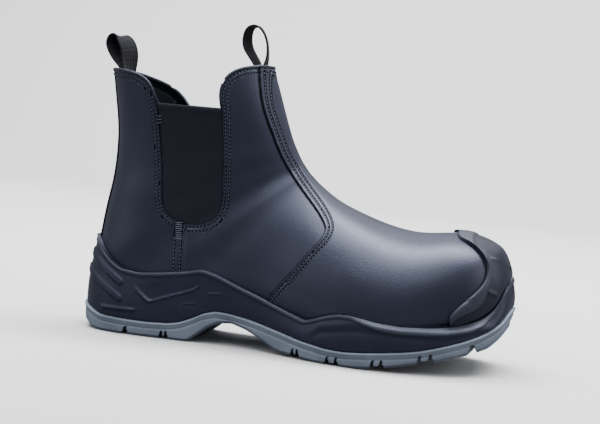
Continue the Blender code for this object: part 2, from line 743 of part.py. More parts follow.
def make_outsole(shade):
    loop, outward = outline_loop()
    steps = (
        ("bottom", 0.0030, 0.0),
        ("bottom", 0.0008, 0.0018),
        ("top", 0.0, -0.0014),
        ("top", SOLE_LEDGE * 0.5, -0.0002),
        ("top", SOLE_LEDGE + SOLE_ROUND, 0.0),
    )
    levels = []
    for edge, inset, lift in steps:
        place = loop - outward * inset
        rows = TREAD_LINE if edge == "bottom" else OUTSOLE_TOP
        height = height_at(rows, place[:, 0]) + lift
        levels.append(np.column_stack([place, height]))
    outsole = ring_body("outsole", levels, PARTS, shade)
    for number, gap in enumerate(LUG_GAPS, start=1):
        spans = [(-1.0, -0.5, 0.0, 0.5, 1.0)]
        if gap.inner > 0:
            spans = [(-1.0, -0.5, -gap.inner), (gap.inner, 0.5, 1.0)]
        for half, reaches in enumerate(spans):
            combine(outsole, lug_gap_cutter(f"lug_gap_{number}_{half}", gap, reaches), "DIFFERENCE")
    for number, (start, end) in enumerate(CHANNEL_SPANS, start=1):
        for side in (-1, 1):
            combine(outsole, channel_cutter(f"channel_{number}_{side + 1}", start, end, side), "DIFFERENCE")
    return outsole


def lug_gap_cutter(name, gap, reaches):
    """Swept trapezoid gap through the tread, from the first to the last of its sideways reaches."""
    half = gap.width * SOLE_LENGTH / 2
    middle = along(gap.along)
    rings = []
    for reach in reaches:
        x = middle + abs(reach) * gap.sweep * SOLE_LENGTH
        floor = height_at(TREAD_LINE, middle)
        top = floor + LUG_DEPTH
        under = floor - 0.02
        y = reach * LUG_GAP_REACH
        flare = LUG_TAPER * (top - under) / LUG_DEPTH
        slope = (height_at(TREAD_LINE, middle + 0.01) - height_at(TREAD_LINE, middle - 0.01)) / 0.02
        rings.append([
            (x - half + LUG_TAPER, y, top - slope * half),
            (x + half - LUG_TAPER, y, top + slope * half),
            (x + half - LUG_TAPER + flare, y, under),
            (x - half + LUG_TAPER - flare, y, under),
        ])
    return loft(name, np.array(rings))


def channel_cutter(name, start, end, side):
    """Lengthwise channel that follows one side of the tread."""
    xs, lateral, medial = sole_outline()
    rings = []
    for share in np.linspace(start, end, 9):
        x = along(share)
        edge = np.interp(x, xs, -lateral if side < 0 else medial)
        y = edge * CHANNEL_SHARE
        floor = height_at(TREAD_LINE, x)
        half = CHANNEL_WIDTH / 2
        rings.append([
            (x, y - half * 0.6, floor + CHANNEL_DEPTH),
            (x, y + half * 0.6, floor + CHANNEL_DEPTH),
            (x, y + half * 2.2, floor - 0.008),
            (x, y - half * 2.2, floor - 0.008),
        ])
    return loft(name, np.array(rings))


def gore_outline(gap=0.0):
    """Side view outline of a gore opening, narrowed by the gap and open past its top."""
    back = np.array([[along(row.back), row.up * SHAFT_HEIGHT] for row in GORE_ROWS])
    front = np.array([[along(row.front), row.up * SHAFT_HEIGHT] for row in GORE_ROWS])[::-1]
    outline = np.concatenate([back, front])
    tangent = np.gradient(outline, axis=0)
    inward = np.stack([-tangent[:, 1], tangent[:, 0]], axis=1)
    inward /= np.linalg.norm(inward, axis=1, keepdims=True)
    return outline + inward * gap


def quarter_relief():
    """What lies over the quarters: the side of the vamp seam, less the quarters' own form."""
    seam_x, seam_z = side_line(VAMP_SEAM)
    behind = -HEEL_REACH - CUT_PAST
    relief = side_prism("quarter_relief", [*seam_x, behind, behind], [*seam_z, seam_z[-1], seam_z[0]])
    combine(relief, last_form("quarter_form", -STEP_HEIGHT), "DIFFERENCE")
    half = BACK_STRIP_WIDTH / 2
    low = BACK_STRIP_LOW * SHAFT_HEIGHT
    high = SHAFT_HEIGHT + CUT_PAST
    front = -HEEL_REACH * BACK_STRIP_DEPTH
    strip = side_prism("back_strip", [behind, front, front, behind], [low, low, high, high], (-half, half))
    return combine(relief, strip, "DIFFERENCE")


def collar_cutter(name, back_rows, reach):
    """What lies over one side of the collar and in its gore opening."""
    back_x, back_z = side_line(back_rows)
    front_x, front_z = side_line(COLLAR_FRONT)
    gore = gore_outline()
    outline_x = [back_x[0], *back_x, *gore[1:-1, 0], *front_x, front_x[-1]]
    high = SHAFT_HEIGHT + CUT_PAST
    outline_z = [high, *back_z, *gore[1:-1, 1], *front_z, high]
    return side_prism(name, outline_x, outline_z, reach)


def make_upper(shade):
    upper = last_form("upper", 0.0, PARTS, shade)
    combine(upper, quarter_relief(), "DIFFERENCE")
    combine(upper, collar_cutter("collar_lateral", COLLAR_BACK, (-PRISM_REACH, COLLAR_LAP)), "DIFFERENCE")
    combine(upper, collar_cutter("collar_medial", COLLAR_BACK_MEDIAL, (-COLLAR_LAP, PRISM_REACH)), "DIFFERENCE")
    bed_x, bed_z = side_line(FOOTBED_LINE)
    lift = INSOLE_GAP
    under = side_prism("under_cutter", [bed_x[0], *bed_x, bed_x[-1]], [-CUT_PAST, *(bed_z + lift), -CUT_PAST])
    combine(upper, under, "DIFFERENCE")
    combine(upper, last_form("upper_inside", -STEP_HEIGHT - UPPER_WALL), "DIFFERENCE")
    return upper


def make_gore(name, side, shade):
    gore = last_form(name, -STEP_HEIGHT - GORE_SINK, PARTS, shade)
    inner = last_form(name + "_inside", -STEP_HEIGHT - GORE_SINK - GORE_THICKNESS)
    combine(gore, inner, "DIFFERENCE")
    outline = gore_outline(FIT_GAP)
    outline[0, 1] = outline[-1, 1] = GORE_TOP * SHAFT_HEIGHT
    reach = (GORE_INNER, PRISM_REACH) if side > 0 else (-PRISM_REACH, -GORE_INNER)
    combine(gore, side_prism(name + "_side", outline[:, 0], outline[:, 1], reach), "INTERSECT")
    return gore


def place_on_last(x, z):
    """Row number and turn of the lateral skin point at x and z, ahead of the instep."""
    rows = np.linspace(0, UPRIGHT_ROWS, 281)
    tops = last_points(rows, 0.0)
    row = np.interp(-x, -tops[:, 0], rows)
    turns = np.linspace(0, math.pi, 361)
    return row, np.interp(-z, -last_points(row, turns)[:, 2], turns)


def even_places(places, shares):
    """Places on the skin at shares of the way along a path of row numbers and turns."""
    places = np.asarray(places)
    points = last_points(places[:, 0], places[:, 1])
    run = np.concatenate([[0], np.cumsum(np.linalg.norm(np.diff(points, axis=0), axis=1))])
    run /= run[-1]
    return np.stack([np.interp(shares, run, places[:, i]) for i in (0, 1)], axis=1)


def guard_shares():
    """Where the toe guard's lines run from its rim: even, with three lines close at each rib."""
    even = np.linspace(0, 1, GUARD_LINES)
    ribs = np.array([rib + shift for rib in GUARD_RIBS for shift in (-RIB_SPREAD, 0, RIB_SPREAD)])
    ribs = np.concatenate([ribs, 1 - ribs])
    free = [share for share in even if np.min(np.abs(ribs - share)) > 1.2 * RIB_SPREAD]
    return np.sort(np.concatenate([free, ribs]))


def make_bumper(shade):
    """Toe guard: a band from its rolled rear rim over the toe to the midsole's lip."""
    rim_x, rim_z = side_line(BUMPER_RIM)
    fine = np.linspace(0, len(rim_x) - 1, 60)
    knots = np.arange(len(rim_x))
    rim = [place_on_last(x, z) for x, z in zip(curve_through(knots, rim_x, fine), curve_through(knots, rim_z, fine))]
    base_x = np.linspace(rim_x[-1] + GUARD_END, along(GUARD_TIP), 60)
    base_z = height_at(MIDSOLE_TOP, base_x + GUARD_LEAN) + GUARD_GROOVE
    base = [place_on_last(x, z) for x, z in zip(base_x, base_z)]
    base.append((base[-1][0], 0.0))
    rim = [(rim[0][0], 0.0), *rim]
    shares = guard_shares()
    mirror = np.array([1, -1])
    rim_path = even_places([*rim[::-1], *(np.array(rim[1:]) * mirror)], shares)
    base_path = even_places([*base, *(np.array(base[::-1][1:]) * mirror)], shares)
    start = last_points(rim_path[:, 0], rim_path[:, 1])
    length = np.linalg.norm(last_points(base_path[:, 0], base_path[:, 1]) - start, axis=1)
    bump = np.zeros(len(shares))
    for rib in GUARD_RIBS:
        bump += np.exp(-((shares - rib) / RIB_SPREAD) ** 2) + np.exp(-((shares - 1 + rib) / RIB_SPREAD) ** 2)
    outer = []
    inner = []
    for row in GUARD_PROFILE:
        share = np.minimum(row.reach * BUMPER_RIM_RADIUS / length, row.most)
        share = share + (1 - share) * row.spread
        place = rim_path + share[:, None] * (base_path - rim_path)
        rise = BUMPER_THICKNESS + row.rise * BUMPER_RIM_RADIUS + RIB_HEIGHT * bump * row.rib
        outer.append(skin_points(place[:, 0], place[:, 1], rise + GUARD_BED))
        inner.append(skin_points(place[:, 0], place[:, 1], np.full(len(shares), GUARD_BED)))
    return patch_shell("toe_bumper", np.array(outer), np.array(inner), PARTS, shade)


def patch_shell(name, outer, inner, folder=CUTTERS, shade=None):
    """Closed shell between an outer and an inner grid of points."""
    body = bmesh.new()
    skins = [[[body.verts.new(point) for point in line] for line in grid] for grid in (outer, inner)]
    count, points = outer.shape[:2]
    for skin in skins:
        for i in range(count - 1):
            for j in range(points - 1):
                body.faces.new((skin[i][j], skin[i][j + 1], skin[i + 1][j + 1], skin[i + 1][j]))
    border = [(0, j) for j in range(points)] + [(i, points - 1) for i in range(1, count)]
    border += [(count - 1, j) for j in range(points - 2, -1, -1)] + [(i, 0) for i in range(count - 2, 0, -1)]
    for (a, b), (c, d) in zip(border, border[1:] + border[:1]):
        body.faces.new((skins[0][a][b], skins[0][c][d], skins[1][c][d], skins[1][a][b]))
    bmesh.ops.recalc_face_normals(body, faces=body.faces)
    mesh = bpy.data.meshes.new(name)
    body.to_mesh(mesh)
    body.free()
    mesh.shade_smooth()
    mesh.set_sharp_from_angle(angle=math.radians(40))
    return link(bpy.data.objects.new(name, mesh), folder, shade)


def make_loop(name, rows, shade):
    """Folded webbing along its centre line, turned about the vertical where the rows say so."""
    knots = np.arange(len(rows))
    wanted = np.linspace(0, len(rows) - 1, 31)
    x = curve_through(knots, [along(row.along) for row in rows], wanted)
    z = curve_through(knots, [row.up * SHAFT_HEIGHT for row in rows], wanted)
    turn = np.radians(curve_through(knots, [row.turn for row in rows], wanted))
    points = np.stack([x, np.zeros_like(x), z], axis=1)
    way = np.gradient(points, axis=0)
    way /= np.linalg.norm(way, axis=1, keepdims=True)
    rings = []
    for point, forward, angle in zip(points, way, turn):
        level = np.array([math.sin(angle), math.cos(angle), 0.0])
        width = level - forward * np.dot(level, forward)
        width /= np.linalg.norm(width)
        face = np.cross(forward, width)
        a = width * WEBBING_WIDTH / 2
        b = face * WEBBING_THICKNESS / 2
        rings.append([point - a - b, point + a - b, point + a + b, point - a + b])
    return loft(name, np.array(rings), PARTS, shade)


def make_insole(shade):
    insole = last_form("insole", 0.0, PARTS, shade)
    bed_x, bed_z = side_line(FOOTBED_LINE)
    under = side_prism("insole_side", [bed_x[0], *bed_x, bed_x[-1]], [-CUT_PAST, *bed_z, -CUT_PAST])
    combine(insole, under, "INTERSECT")
    return insole


def main():
    clear_scene()
    leather = material("black_leather", (0.045, 0.048, 0.062), 0.42)
    elastic = material("ribbed_elastic", (0.012, 0.013, 0.018), 0.9)
    foam = material("moulded_foam", (0.020, 0.024, 0.036), 0.55)
    guard = material("moulded_guard", (0.040, 0.044, 0.056), 0.5)
    rubber = material("grey_rubber", (0.11, 0.16, 0.20), 0.65)
    webbing = material("black_webbing", (0.010, 0.011, 0.018), 0.85)
    footbed = material("footbed_board", (0.02, 0.02, 0.022), 0.9)
    make_upper(leather)
    make_gore("gore_lateral", -1, elastic)
    make_gore("gore_medial", 1, elastic)
    make_midsole(foam)
    make_outsole(rubber)
    make_bumper(guard)
    make_loop("pull_loop_back", BACK_LOOP, webbing)
    make_loop("pull_loop_front", FRONT_LOOP, webbing)
    make_insole(footbed)


main()
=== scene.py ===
import math
from collections import namedtuple

import bmesh
import bpy
import numpy as np
from mathutils import Matrix, Vector
from mathutils.bvhtree import BVHTree


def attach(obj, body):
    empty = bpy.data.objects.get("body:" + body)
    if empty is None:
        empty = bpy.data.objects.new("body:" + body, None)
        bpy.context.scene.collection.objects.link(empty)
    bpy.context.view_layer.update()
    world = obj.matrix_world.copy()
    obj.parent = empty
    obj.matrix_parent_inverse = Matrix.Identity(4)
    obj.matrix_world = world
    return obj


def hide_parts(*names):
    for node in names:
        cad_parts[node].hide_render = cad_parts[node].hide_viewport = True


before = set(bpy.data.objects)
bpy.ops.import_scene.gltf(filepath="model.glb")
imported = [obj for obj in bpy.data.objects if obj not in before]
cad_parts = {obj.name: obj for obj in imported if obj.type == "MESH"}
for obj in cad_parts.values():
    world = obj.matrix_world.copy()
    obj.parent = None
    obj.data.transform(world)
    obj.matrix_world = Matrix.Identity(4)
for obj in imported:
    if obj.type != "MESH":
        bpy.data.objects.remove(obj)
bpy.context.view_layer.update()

# A right boot in metres: +X is the toe, +Y the medial side, +Z up, and the floor is at nought.
# The tables give shares: along is a share of the sole's length from the heel's back, and up is a
# share of the shaft's height.

soleLength = 0.3053
heelReach = 0.0370
ballWidth = 0.116
shaftHeight = 0.195
instepHeight = 0.1084
heelHeight = 0.020
upperWall = 0.0018
stepHeight = 0.0012
fitGap = 0.0003
bumperThickness = 0.0022
bumperRimRadius = 0.0027
goreThickness = 0.0011
goreSink = 0.0008
midsoleLip = 0.0022
beadHeight = 0.0034
beadProud = 0.0009
panelDepth = 0.0013
backStripWidth = 0.022
lugDepth = 0.0052
lugTaper = 0.0016
channelWidth = 0.0044
channelDepth = 0.0036
channelShare = 0.40
webbingWidth = 0.016
webbingThickness = 0.0014
backStripLow = 0.25
lugGapReach = 0.081
goreTop = 0.832
soleLedge = 0.0010
searchReach = 0.03
guardGroove = 0.0006
channelSpans = ((0.075, 0.262), (0.515, 0.905))
guardBed = 0.0009
guardEnd = 0.0025
guardTip = 0.9794
guardLean = 0.0028
uprightRows = 7
skinStep = 0.02

LastRow = namedtuple(
    "LastRow", "along rise lowAlong lowRise centre lateral medial widest topPower lowPower"
)
OutlineRow = namedtuple("OutlineRow", "along lateral medial")
SidePoint = namedtuple("SidePoint", "along up")
GoreRow = namedtuple("GoreRow", "up back front")
LugGap = namedtuple("LugGap", "along width sweep inner")
LoopRow = namedtuple("LoopRow", "along up turn")


def tableOf(kind, *rows):
    return tuple(kind(*row) for row in rows)


lastRows = tableOf(
    LastRow,
    (0.9843, 0.5535, 0.9843, 0.1385, 0.043, 0.112, 0.112, 0.50, 2.20, 2.20),
    (0.9746, 0.6504, 0.9746, 0.1128, 0.043, 0.172, 0.164, 0.52, 2.30, 2.40),
    (0.9599, 0.7454, 0.9599, 0.0923, 0.039, 0.250, 0.233, 0.56, 2.30, 2.60),
    (0.9371, 0.7961, 0.9371, 0.0718, 0.034, 0.328, 0.293, 0.60, 2.30, 3.00),
    (0.9012, 0.8321, 0.9012, 0.0487, 0.026, 0.405, 0.358, 0.64, 2.30, 3.60),
    (0.8490, 0.8441, 0.8490, 0.0231, 0.017, 0.466, 0.397, 0.68, 2.25, 4.20),
    (0.7838, 0.8266, 0.7838, -0.0026, 0.009, 0.509, 0.414, 0.70, 2.20, 4.60),
    (0.7153, 0.8450, 0.7153, -0.0154, 0.004, 0.517, 0.409, 0.72, 2.15, 4.80),
    (0.6500, 0.8976, 0.6402, -0.0205, 0.000, 0.496, 0.388, 0.72, 2.10, 4.80),
    (0.6044, 0.9446, 0.5652, -0.0087, 0.004, 0.457, 0.349, 0.70, 2.10, 4.60),
    (0.5685, 0.9945, 0.4902, 0.0144, 0.009, 0.409, 0.306, 0.68, 2.15, 4.40),
    (0.5440, 1.0508, 0.4022, 0.0436, 0.013, 0.362, 0.276, 0.66, 2.20, 4.20),
    (0.5261, 1.0993, 0.3043, 0.0385, 0.009, 0.332, 0.280, 0.64, 2.25, 4.20),
    (0.5130, 1.1420, 0.2065, 0.0077, 0.004, 0.310, 0.293, 0.62, 2.30, 4.00),
    (0.5039, 1.1744, 0.1249, 0.0000, 0.000, 0.306, 0.297, 0.62, 2.30, 3.80),
    (0.4967, 1.2055, 0.0662, 0.0103, 0.000, 0.297, 0.293, 0.62, 2.30, 3.20),
    (0.4902, 1.2344, 0.0303, 0.0564, 0.000, 0.293, 0.293, 0.62, 2.30, 2.70),
    (0.4837, 1.2656, 0.0163, 0.1282, 0.000, 0.297, 0.297, 0.60, 2.30, 2.50),
    (0.4765, 1.3060, 0.0205, 0.2277, 0.000, 0.297, 0.297, 0.58, 2.30, 2.35),
    (0.4690, 1.3522, 0.0297, 0.3410, 0.000, 0.302, 0.302, 0.56, 2.30, 2.30),
    (0.4609, 1.4053, 0.0398, 0.4323, 0.000, 0.306, 0.306, 0.54, 2.30, 2.30),
    (0.4521, 1.4746, 0.0450, 0.5221, 0.000, 0.315, 0.315, 0.53, 2.30, 2.30),
    (0.4413, 1.5704, 0.0447, 0.6185, 0.000, 0.332, 0.332, 0.52, 2.30, 2.30),
    (0.4292, 1.6836, 0.0382, 0.6990, 0.000, 0.349, 0.349, 0.52, 2.30, 2.30),
    (0.4159, 1.8106, 0.0297, 0.7795, 0.000, 0.362, 0.362, 0.52, 2.30, 2.30),
    (0.3989, 1.9781, 0.0225, 0.8462, 0.000, 0.371, 0.371, 0.52, 2.30, 2.30),
    (0.3810, 2.1559, 0.0140, 0.9231, 0.000, 0.379, 0.379, 0.52, 2.30, 2.30),
)
outlineRows = tableOf(
    OutlineRow,
    (0.000, 0.000, 0.000), (0.007, 0.129, 0.129), (0.027, 0.220, 0.216), (0.060, 0.284, 0.280),
    (0.099, 0.319, 0.315), (0.151, 0.332, 0.328), (0.206, 0.332, 0.323), (0.272, 0.328, 0.302),
    (0.353, 0.328, 0.272), (0.418, 0.349, 0.267), (0.484, 0.397, 0.297), (0.549, 0.461, 0.345),
    (0.614, 0.517, 0.392), (0.679, 0.547, 0.431), (0.745, 0.543, 0.453), (0.810, 0.513, 0.457),
    (0.869, 0.461, 0.440), (0.917, 0.388, 0.397), (0.953, 0.302, 0.332), (0.980, 0.198, 0.246),
    (0.994, 0.095, 0.164), (1.000, -0.043, 0.043),
)
treadLine = tableOf(
    SidePoint,
    (0.000, 0.056), (0.006, 0.036), (0.021, 0.016), (0.040, 0.006), (0.061, 0.000), (0.281, 0.000),
    (0.304, 0.029), (0.327, 0.059), (0.353, 0.078), (0.383, 0.083), (0.418, 0.068), (0.454, 0.045),
    (0.480, 0.024), (0.497, 0.012), (0.533, 0.007), (0.568, 0.002), (0.588, 0.000), (0.686, 0.000),
    (0.725, 0.007), (0.764, 0.017), (0.810, 0.033), (0.869, 0.053), (0.924, 0.078), (0.957, 0.097),
    (0.978, 0.128), (0.989, 0.154), (0.996, 0.174), (1.000, 0.205),
)
outsoleTop = tableOf(
    SidePoint,
    (0.000, 0.095), (0.024, 0.080), (0.064, 0.059), (0.119, 0.055), (0.177, 0.053), (0.233, 0.057),
    (0.262, 0.066), (0.291, 0.086), (0.317, 0.108), (0.343, 0.119), (0.376, 0.117), (0.418, 0.108),
    (0.480, 0.089), (0.552, 0.065), (0.617, 0.052), (0.657, 0.051), (0.715, 0.059), (0.784, 0.072),
    (0.823, 0.082), (0.859, 0.097), (0.904, 0.118), (0.942, 0.141), (0.970, 0.167), (0.986, 0.190),
    (1.000, 0.236),
)
midsoleTop = tableOf(
    SidePoint,
    (0.000, 0.344), (0.026, 0.327), (0.053, 0.292), (0.079, 0.258), (0.107, 0.236), (0.154, 0.228),
    (0.204, 0.236), (0.264, 0.250), (0.304, 0.264), (0.340, 0.251), (0.393, 0.220), (0.475, 0.178),
    (0.516, 0.158), (0.559, 0.140), (0.582, 0.152), (0.604, 0.166), (0.634, 0.179), (0.666, 0.181),
    (0.699, 0.174), (0.728, 0.167), (0.777, 0.161), (0.834, 0.165), (0.872, 0.171), (0.908, 0.182),
    (0.940, 0.203), (0.966, 0.238), (0.979, 0.285), (0.989, 0.335), (1.000, 0.359),
)
collarBack = tableOf(
    SidePoint,
    (-0.0251, 0.9467), (0.0238, 0.9426), (0.0770, 0.9385), (0.1132, 0.9292), (0.1331, 0.9164),
    (0.1487, 0.8949), (0.1594, 0.8641), (0.1674, 0.8308),
)
collarBackMedial = tableOf(
    SidePoint,
    (-0.0251, 0.9467), (0.0238, 0.9426), (0.0466, 0.9364), (0.0643, 0.9282), (0.0903, 0.9154),
    (0.1168, 0.8990), (0.1370, 0.8795), (0.1529, 0.8574), (0.1674, 0.8308),
)
collarFront = tableOf(
    SidePoint,
    (0.3190, 0.8308), (0.3132, 0.8769), (0.3176, 0.9236), (0.3284, 0.9538), (0.3480, 0.9774),
    (0.3819, 0.9949), (0.4119, 0.9990), (0.4641, 0.9949),
)
goreRows = tableOf(
    GoreRow,
    (0.8385, 0.1683, 0.3187), (0.6359, 0.1860, 0.3275), (0.5231, 0.1928, 0.3301),
    (0.4682, 0.1987, 0.3262), (0.4385, 0.2160, 0.3112), (0.4215, 0.2401, 0.2877),
    (0.4169, 0.2616, 0.2655),
)
vampSeam = tableOf(
    SidePoint,
    (0.3695, 1.0872), (0.3878, 0.9662), (0.4074, 0.8415), (0.4250, 0.7749), (0.4442, 0.7082),
    (0.4644, 0.6533), (0.4896, 0.6046), (0.5189, 0.5574), (0.5476, 0.5154), (0.5698, 0.4785),
    (0.5796, 0.4508), (0.5757, 0.4221), (0.5610, 0.3897), (0.5303, 0.3231), (0.4993, 0.2605),
    (0.4641, 0.1846), (0.4315, 0.0923),
)
bumperRim = tableOf(
    SidePoint,
    (0.8457, 0.5077), (0.8604, 0.4667), (0.8933, 0.4446), (0.9211, 0.4174), (0.9377, 0.3749),
    (0.9357, 0.3272), (0.9155, 0.2815), (0.8865, 0.2328), (0.8731, 0.1950), (0.8740, 0.1800),
)
footbedLine = tableOf(
    SidePoint,
    (-0.025, 0.128), (0.060, 0.126), (0.125, 0.126), (0.190, 0.131), (0.255, 0.148), (0.321, 0.166),
    (0.386, 0.169), (0.451, 0.153), (0.516, 0.131), (0.582, 0.115), (0.647, 0.106), (0.712, 0.110),
    (0.777, 0.123), (0.849, 0.149), (0.901, 0.174), (0.940, 0.201), (0.966, 0.226), (1.012, 0.277),
)
panelBlade = tableOf(
    SidePoint,
    (0.152, 0.176), (0.156, 0.183), (0.216, 0.198), (0.281, 0.213), (0.299, 0.205), (0.286, 0.186),
    (0.237, 0.159), (0.193, 0.133), (0.184, 0.132), (0.156, 0.159),
)
lugGaps = tableOf(
    LugGap,
    (0.1285, 0.0150, 0.010, 0.18), (0.2190, 0.0240, 0.014, 0.18), (0.5530, 0.0240, -0.014, 0.0),
    (0.6470, 0.0330, -0.020, 0.0), (0.7495, 0.0310, -0.022, 0.0), (0.8470, 0.0340, -0.020, 0.0),
    (0.9330, 0.0170, -0.012, 0.0),
)
backLoop = tableOf(
    LoopRow,
    (0.0512, 0.840, 0), (0.0450, 0.905, 0), (0.0395, 0.947, 4), (0.0264, 0.982, 20),
    (0.0134, 1.022, 30), (0.0127, 1.050, 32), (0.0225, 1.063, 32), (0.0369, 1.050, 32),
    (0.0473, 1.021, 31), (0.0512, 0.985, 28), (0.0532, 0.947, 16), (0.0577, 0.905, 4),
    (0.0633, 0.840, 0),
)
frontLoop = tableOf(
    LoopRow,
    (0.3976, 0.860, 0), (0.3855, 0.930, 0), (0.3796, 0.985, -2), (0.3826, 1.018, -8),
    (0.3832, 1.051, -11), (0.3790, 1.087, -12), (0.3679, 1.122, -10), (0.3516, 1.139, -4),
    (0.3369, 1.126, 4), (0.3324, 1.090, 9), (0.3382, 1.054, 12), (0.3539, 1.019, 10),
    (0.3650, 0.985, 4), (0.3725, 0.930, 0), (0.3845, 0.860, 0),
)


def along(share):
    return share * soleLength - heelReach


def curveThrough(knots, values, wanted):
    knots = np.asarray(knots, float)
    values = np.asarray(values, float)
    step = np.diff(knots)
    count = len(knots)
    matrix = np.eye(count)
    right = np.zeros(count)
    for i in range(1, count - 1):
        matrix[i, i - 1] = step[i - 1]
        matrix[i, i] = 2 * (step[i - 1] + step[i])
        matrix[i, i + 1] = step[i]
        right[i] = 6 * ((values[i + 1] - values[i]) / step[i] - (values[i] - values[i - 1]) / step[i - 1])
    bend = np.linalg.solve(matrix, right)
    wanted = np.asarray(wanted, float)
    cell = np.clip(np.searchsorted(knots, wanted) - 1, 0, count - 2)
    width = step[cell]
    before = (knots[cell + 1] - wanted) / width
    after = 1 - before
    smooth = (before**3 - before) * bend[cell] + (after**3 - after) * bend[cell + 1]
    return before * values[cell] + after * values[cell + 1] + smooth * width**2 / 6


def sideLine(rows):
    return np.array([along(row.along) for row in rows]), np.array([row.up * shaftHeight for row in rows])


def heightAt(rows, x):
    xs, zs = sideLine(rows)
    return np.interp(x, xs, zs)


def riseHeight(rise):
    low = np.minimum(rise, 1.0) * instepHeight
    return low + np.maximum(rise - 1.0, 0.0) * (shaftHeight - instepHeight)


def lastPoints(station, turn):
    station, turn = np.broadcast_arrays(np.asarray(station, float), np.asarray(turn, float))
    knots = np.arange(len(lastRows))
    wanted = np.clip(station.ravel(), 0, len(lastRows) - 1)
    column = {name: curveThrough(knots, [getattr(row, name) for row in lastRows], wanted)
              for name in LastRow._fields}
    turn = turn.ravel()
    top = np.stack([along(column["along"]), riseHeight(column["rise"])], axis=1)
    low = np.stack([along(column["lowAlong"]), heelHeight + column["lowRise"] * shaftHeight], axis=1)
    facing = np.cos(turn)
    power = np.where(facing > 0, column["topPower"], column["lowPower"])
    reach = np.abs(facing) ** (2 / power)
    widest = column["widest"]
    share = np.where(facing > 0, widest * (1 - reach), widest + (1 - widest) * reach)
    spread = np.abs(np.sin(turn)) ** (2 / power)
    across = np.where(np.sin(turn) > 0, -column["lateral"], column["medial"]) * spread
    side = top + share[:, None] * (low - top)
    points = np.stack([side[:, 0], (column["centre"] + across) * ballWidth, side[:, 1]], axis=1)
    return points.reshape(*station.shape, 3)


def skinPoints(station, turn, offset):
    station = np.maximum(station, skinStep)
    points = lastPoints(station, turn)
    down = lastPoints(station + skinStep, turn) - lastPoints(station - skinStep, turn)
    around = lastPoints(station, turn + skinStep) - lastPoints(station, turn - skinStep)
    outward = np.cross(around, down)
    outward /= np.linalg.norm(outward, axis=-1, keepdims=True)
    middle = (lastPoints(station, 0 * turn) + lastPoints(station, 0 * turn + math.pi)) / 2
    facing = np.sign(np.sum(outward * (points - middle), axis=-1, keepdims=True))
    return points + outward * facing * np.asarray(offset)[..., None]


def placeOnLast(x, z):
    rows = np.linspace(0, uprightRows, 281)
    tops = lastPoints(rows, 0.0)
    row = np.interp(-x, -tops[:, 0], rows)
    turns = np.linspace(0, math.pi, 361)
    return row, np.interp(-z, -lastPoints(row, turns)[:, 2], turns)


def evenPlaces(places, shares):
    places = np.asarray(places)
    points = lastPoints(places[:, 0], places[:, 1])
    run = np.concatenate([[0], np.cumsum(np.linalg.norm(np.diff(points, axis=0), axis=1))])
    run /= run[-1]
    return np.stack([np.interp(shares, run, places[:, i]) for i in (0, 1)], axis=1)


# Meshes


def softHeight(rows, x, reach=0.0022):
    steps = np.linspace(-reach, reach, 5)
    return np.mean([heightAt(rows, x + step) for step in steps], axis=0)


def smoothLine(rows, count):
    xs, zs = sideLine(rows)
    run = np.concatenate([[0], np.cumsum(np.hypot(np.diff(xs), np.diff(zs)))])
    wanted = np.linspace(0, run[-1], count)
    return np.stack([curveThrough(run, xs, wanted), curveThrough(run, zs, wanted)], axis=1)


def pathRun(points):
    return np.concatenate([[0], np.cumsum(np.linalg.norm(np.diff(points, axis=0), axis=1))])


def gridBody(points, around=False, capped=False):
    # A grid of points as faces; around welds its last column to its first
    rows, columns = points.shape[:2]
    body = bmesh.new()
    across = columns if around else columns - 1
    bmesh.ops.create_grid(body, x_segments=across, y_segments=rows - 1, size=1)
    for vert in body.verts:
        column = round((vert.co.x + 1) / 2 * across) % columns
        row = round((vert.co.y + 1) / 2 * (rows - 1))
        vert.co = points[row, column]
    if around:
        bmesh.ops.remove_doubles(body, verts=body.verts, dist=1e-7)
    if capped:
        rims = [edge for edge in body.edges if edge.is_boundary]
        bmesh.ops.holes_fill(body, edges=rims)
    return body


def finish(body, name, *materials, sharp=40, outward=True):
    if outward:
        bmesh.ops.recalc_face_normals(body, faces=body.faces)
    mesh = bpy.data.meshes.new(name)
    body.to_mesh(mesh)
    body.free()
    mesh.shade_smooth()
    mesh.set_sharp_from_angle(angle=math.radians(sharp))
    piece = bpy.data.objects.new(name, mesh)
    bpy.context.scene.collection.objects.link(piece)
    for surface in materials:
        mesh.materials.append(surface)
    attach(piece, "root")
    return piece


def outlineDistance(points, outline):
    # Side view distance to a closed outline, less than nought inside it
    start = np.asarray(outline)
    end = np.roll(start, -1, axis=0)
    way = end - start
    near = np.full(len(points), 1.0)
    inside = np.zeros(len(points), bool)
    for (ax, az), bz, (wx, wz) in zip(start, end[:, 1], way):
        rx = points[:, 0] - ax
        rz = points[:, 1] - az
        share = np.clip((rx * wx + rz * wz) / max(wx * wx + wz * wz, 1e-12), 0, 1)
        near = np.minimum(near, np.hypot(rx - share * wx, rz - share * wz))
        if az != bz:
            crosses = (az > points[:, 1]) != (bz > points[:, 1])
            inside ^= crosses & (points[:, 0] < ax + (points[:, 1] - az) * wx / wz)
    return np.where(inside, -near, near)


def softStep(value, low, high):
    share = np.clip((value - low) / (high - low), 0, 1)
    return share * share * (3 - 2 * share)


# A flat pattern: its x is the row number on the last and its y the turn about the section


def evenTurns(count):
    fine = np.linspace(0, 2 * math.pi, 1441)
    run = sum(pathRun(lastPoints(row, fine)) for row in (7, 12, 20, 25))
    return np.interp(np.linspace(0, 1, count), run / run[-1], fine)


def evenRows(count):
    fine = np.linspace(0, len(lastRows) - 1, 1200)
    run = sum(pathRun(lastPoints(fine, turn)) for turn in (0.3, 1.2, 1.9, 2.8))
    return np.interp(np.linspace(0, 1, count), run / run[-1], fine)


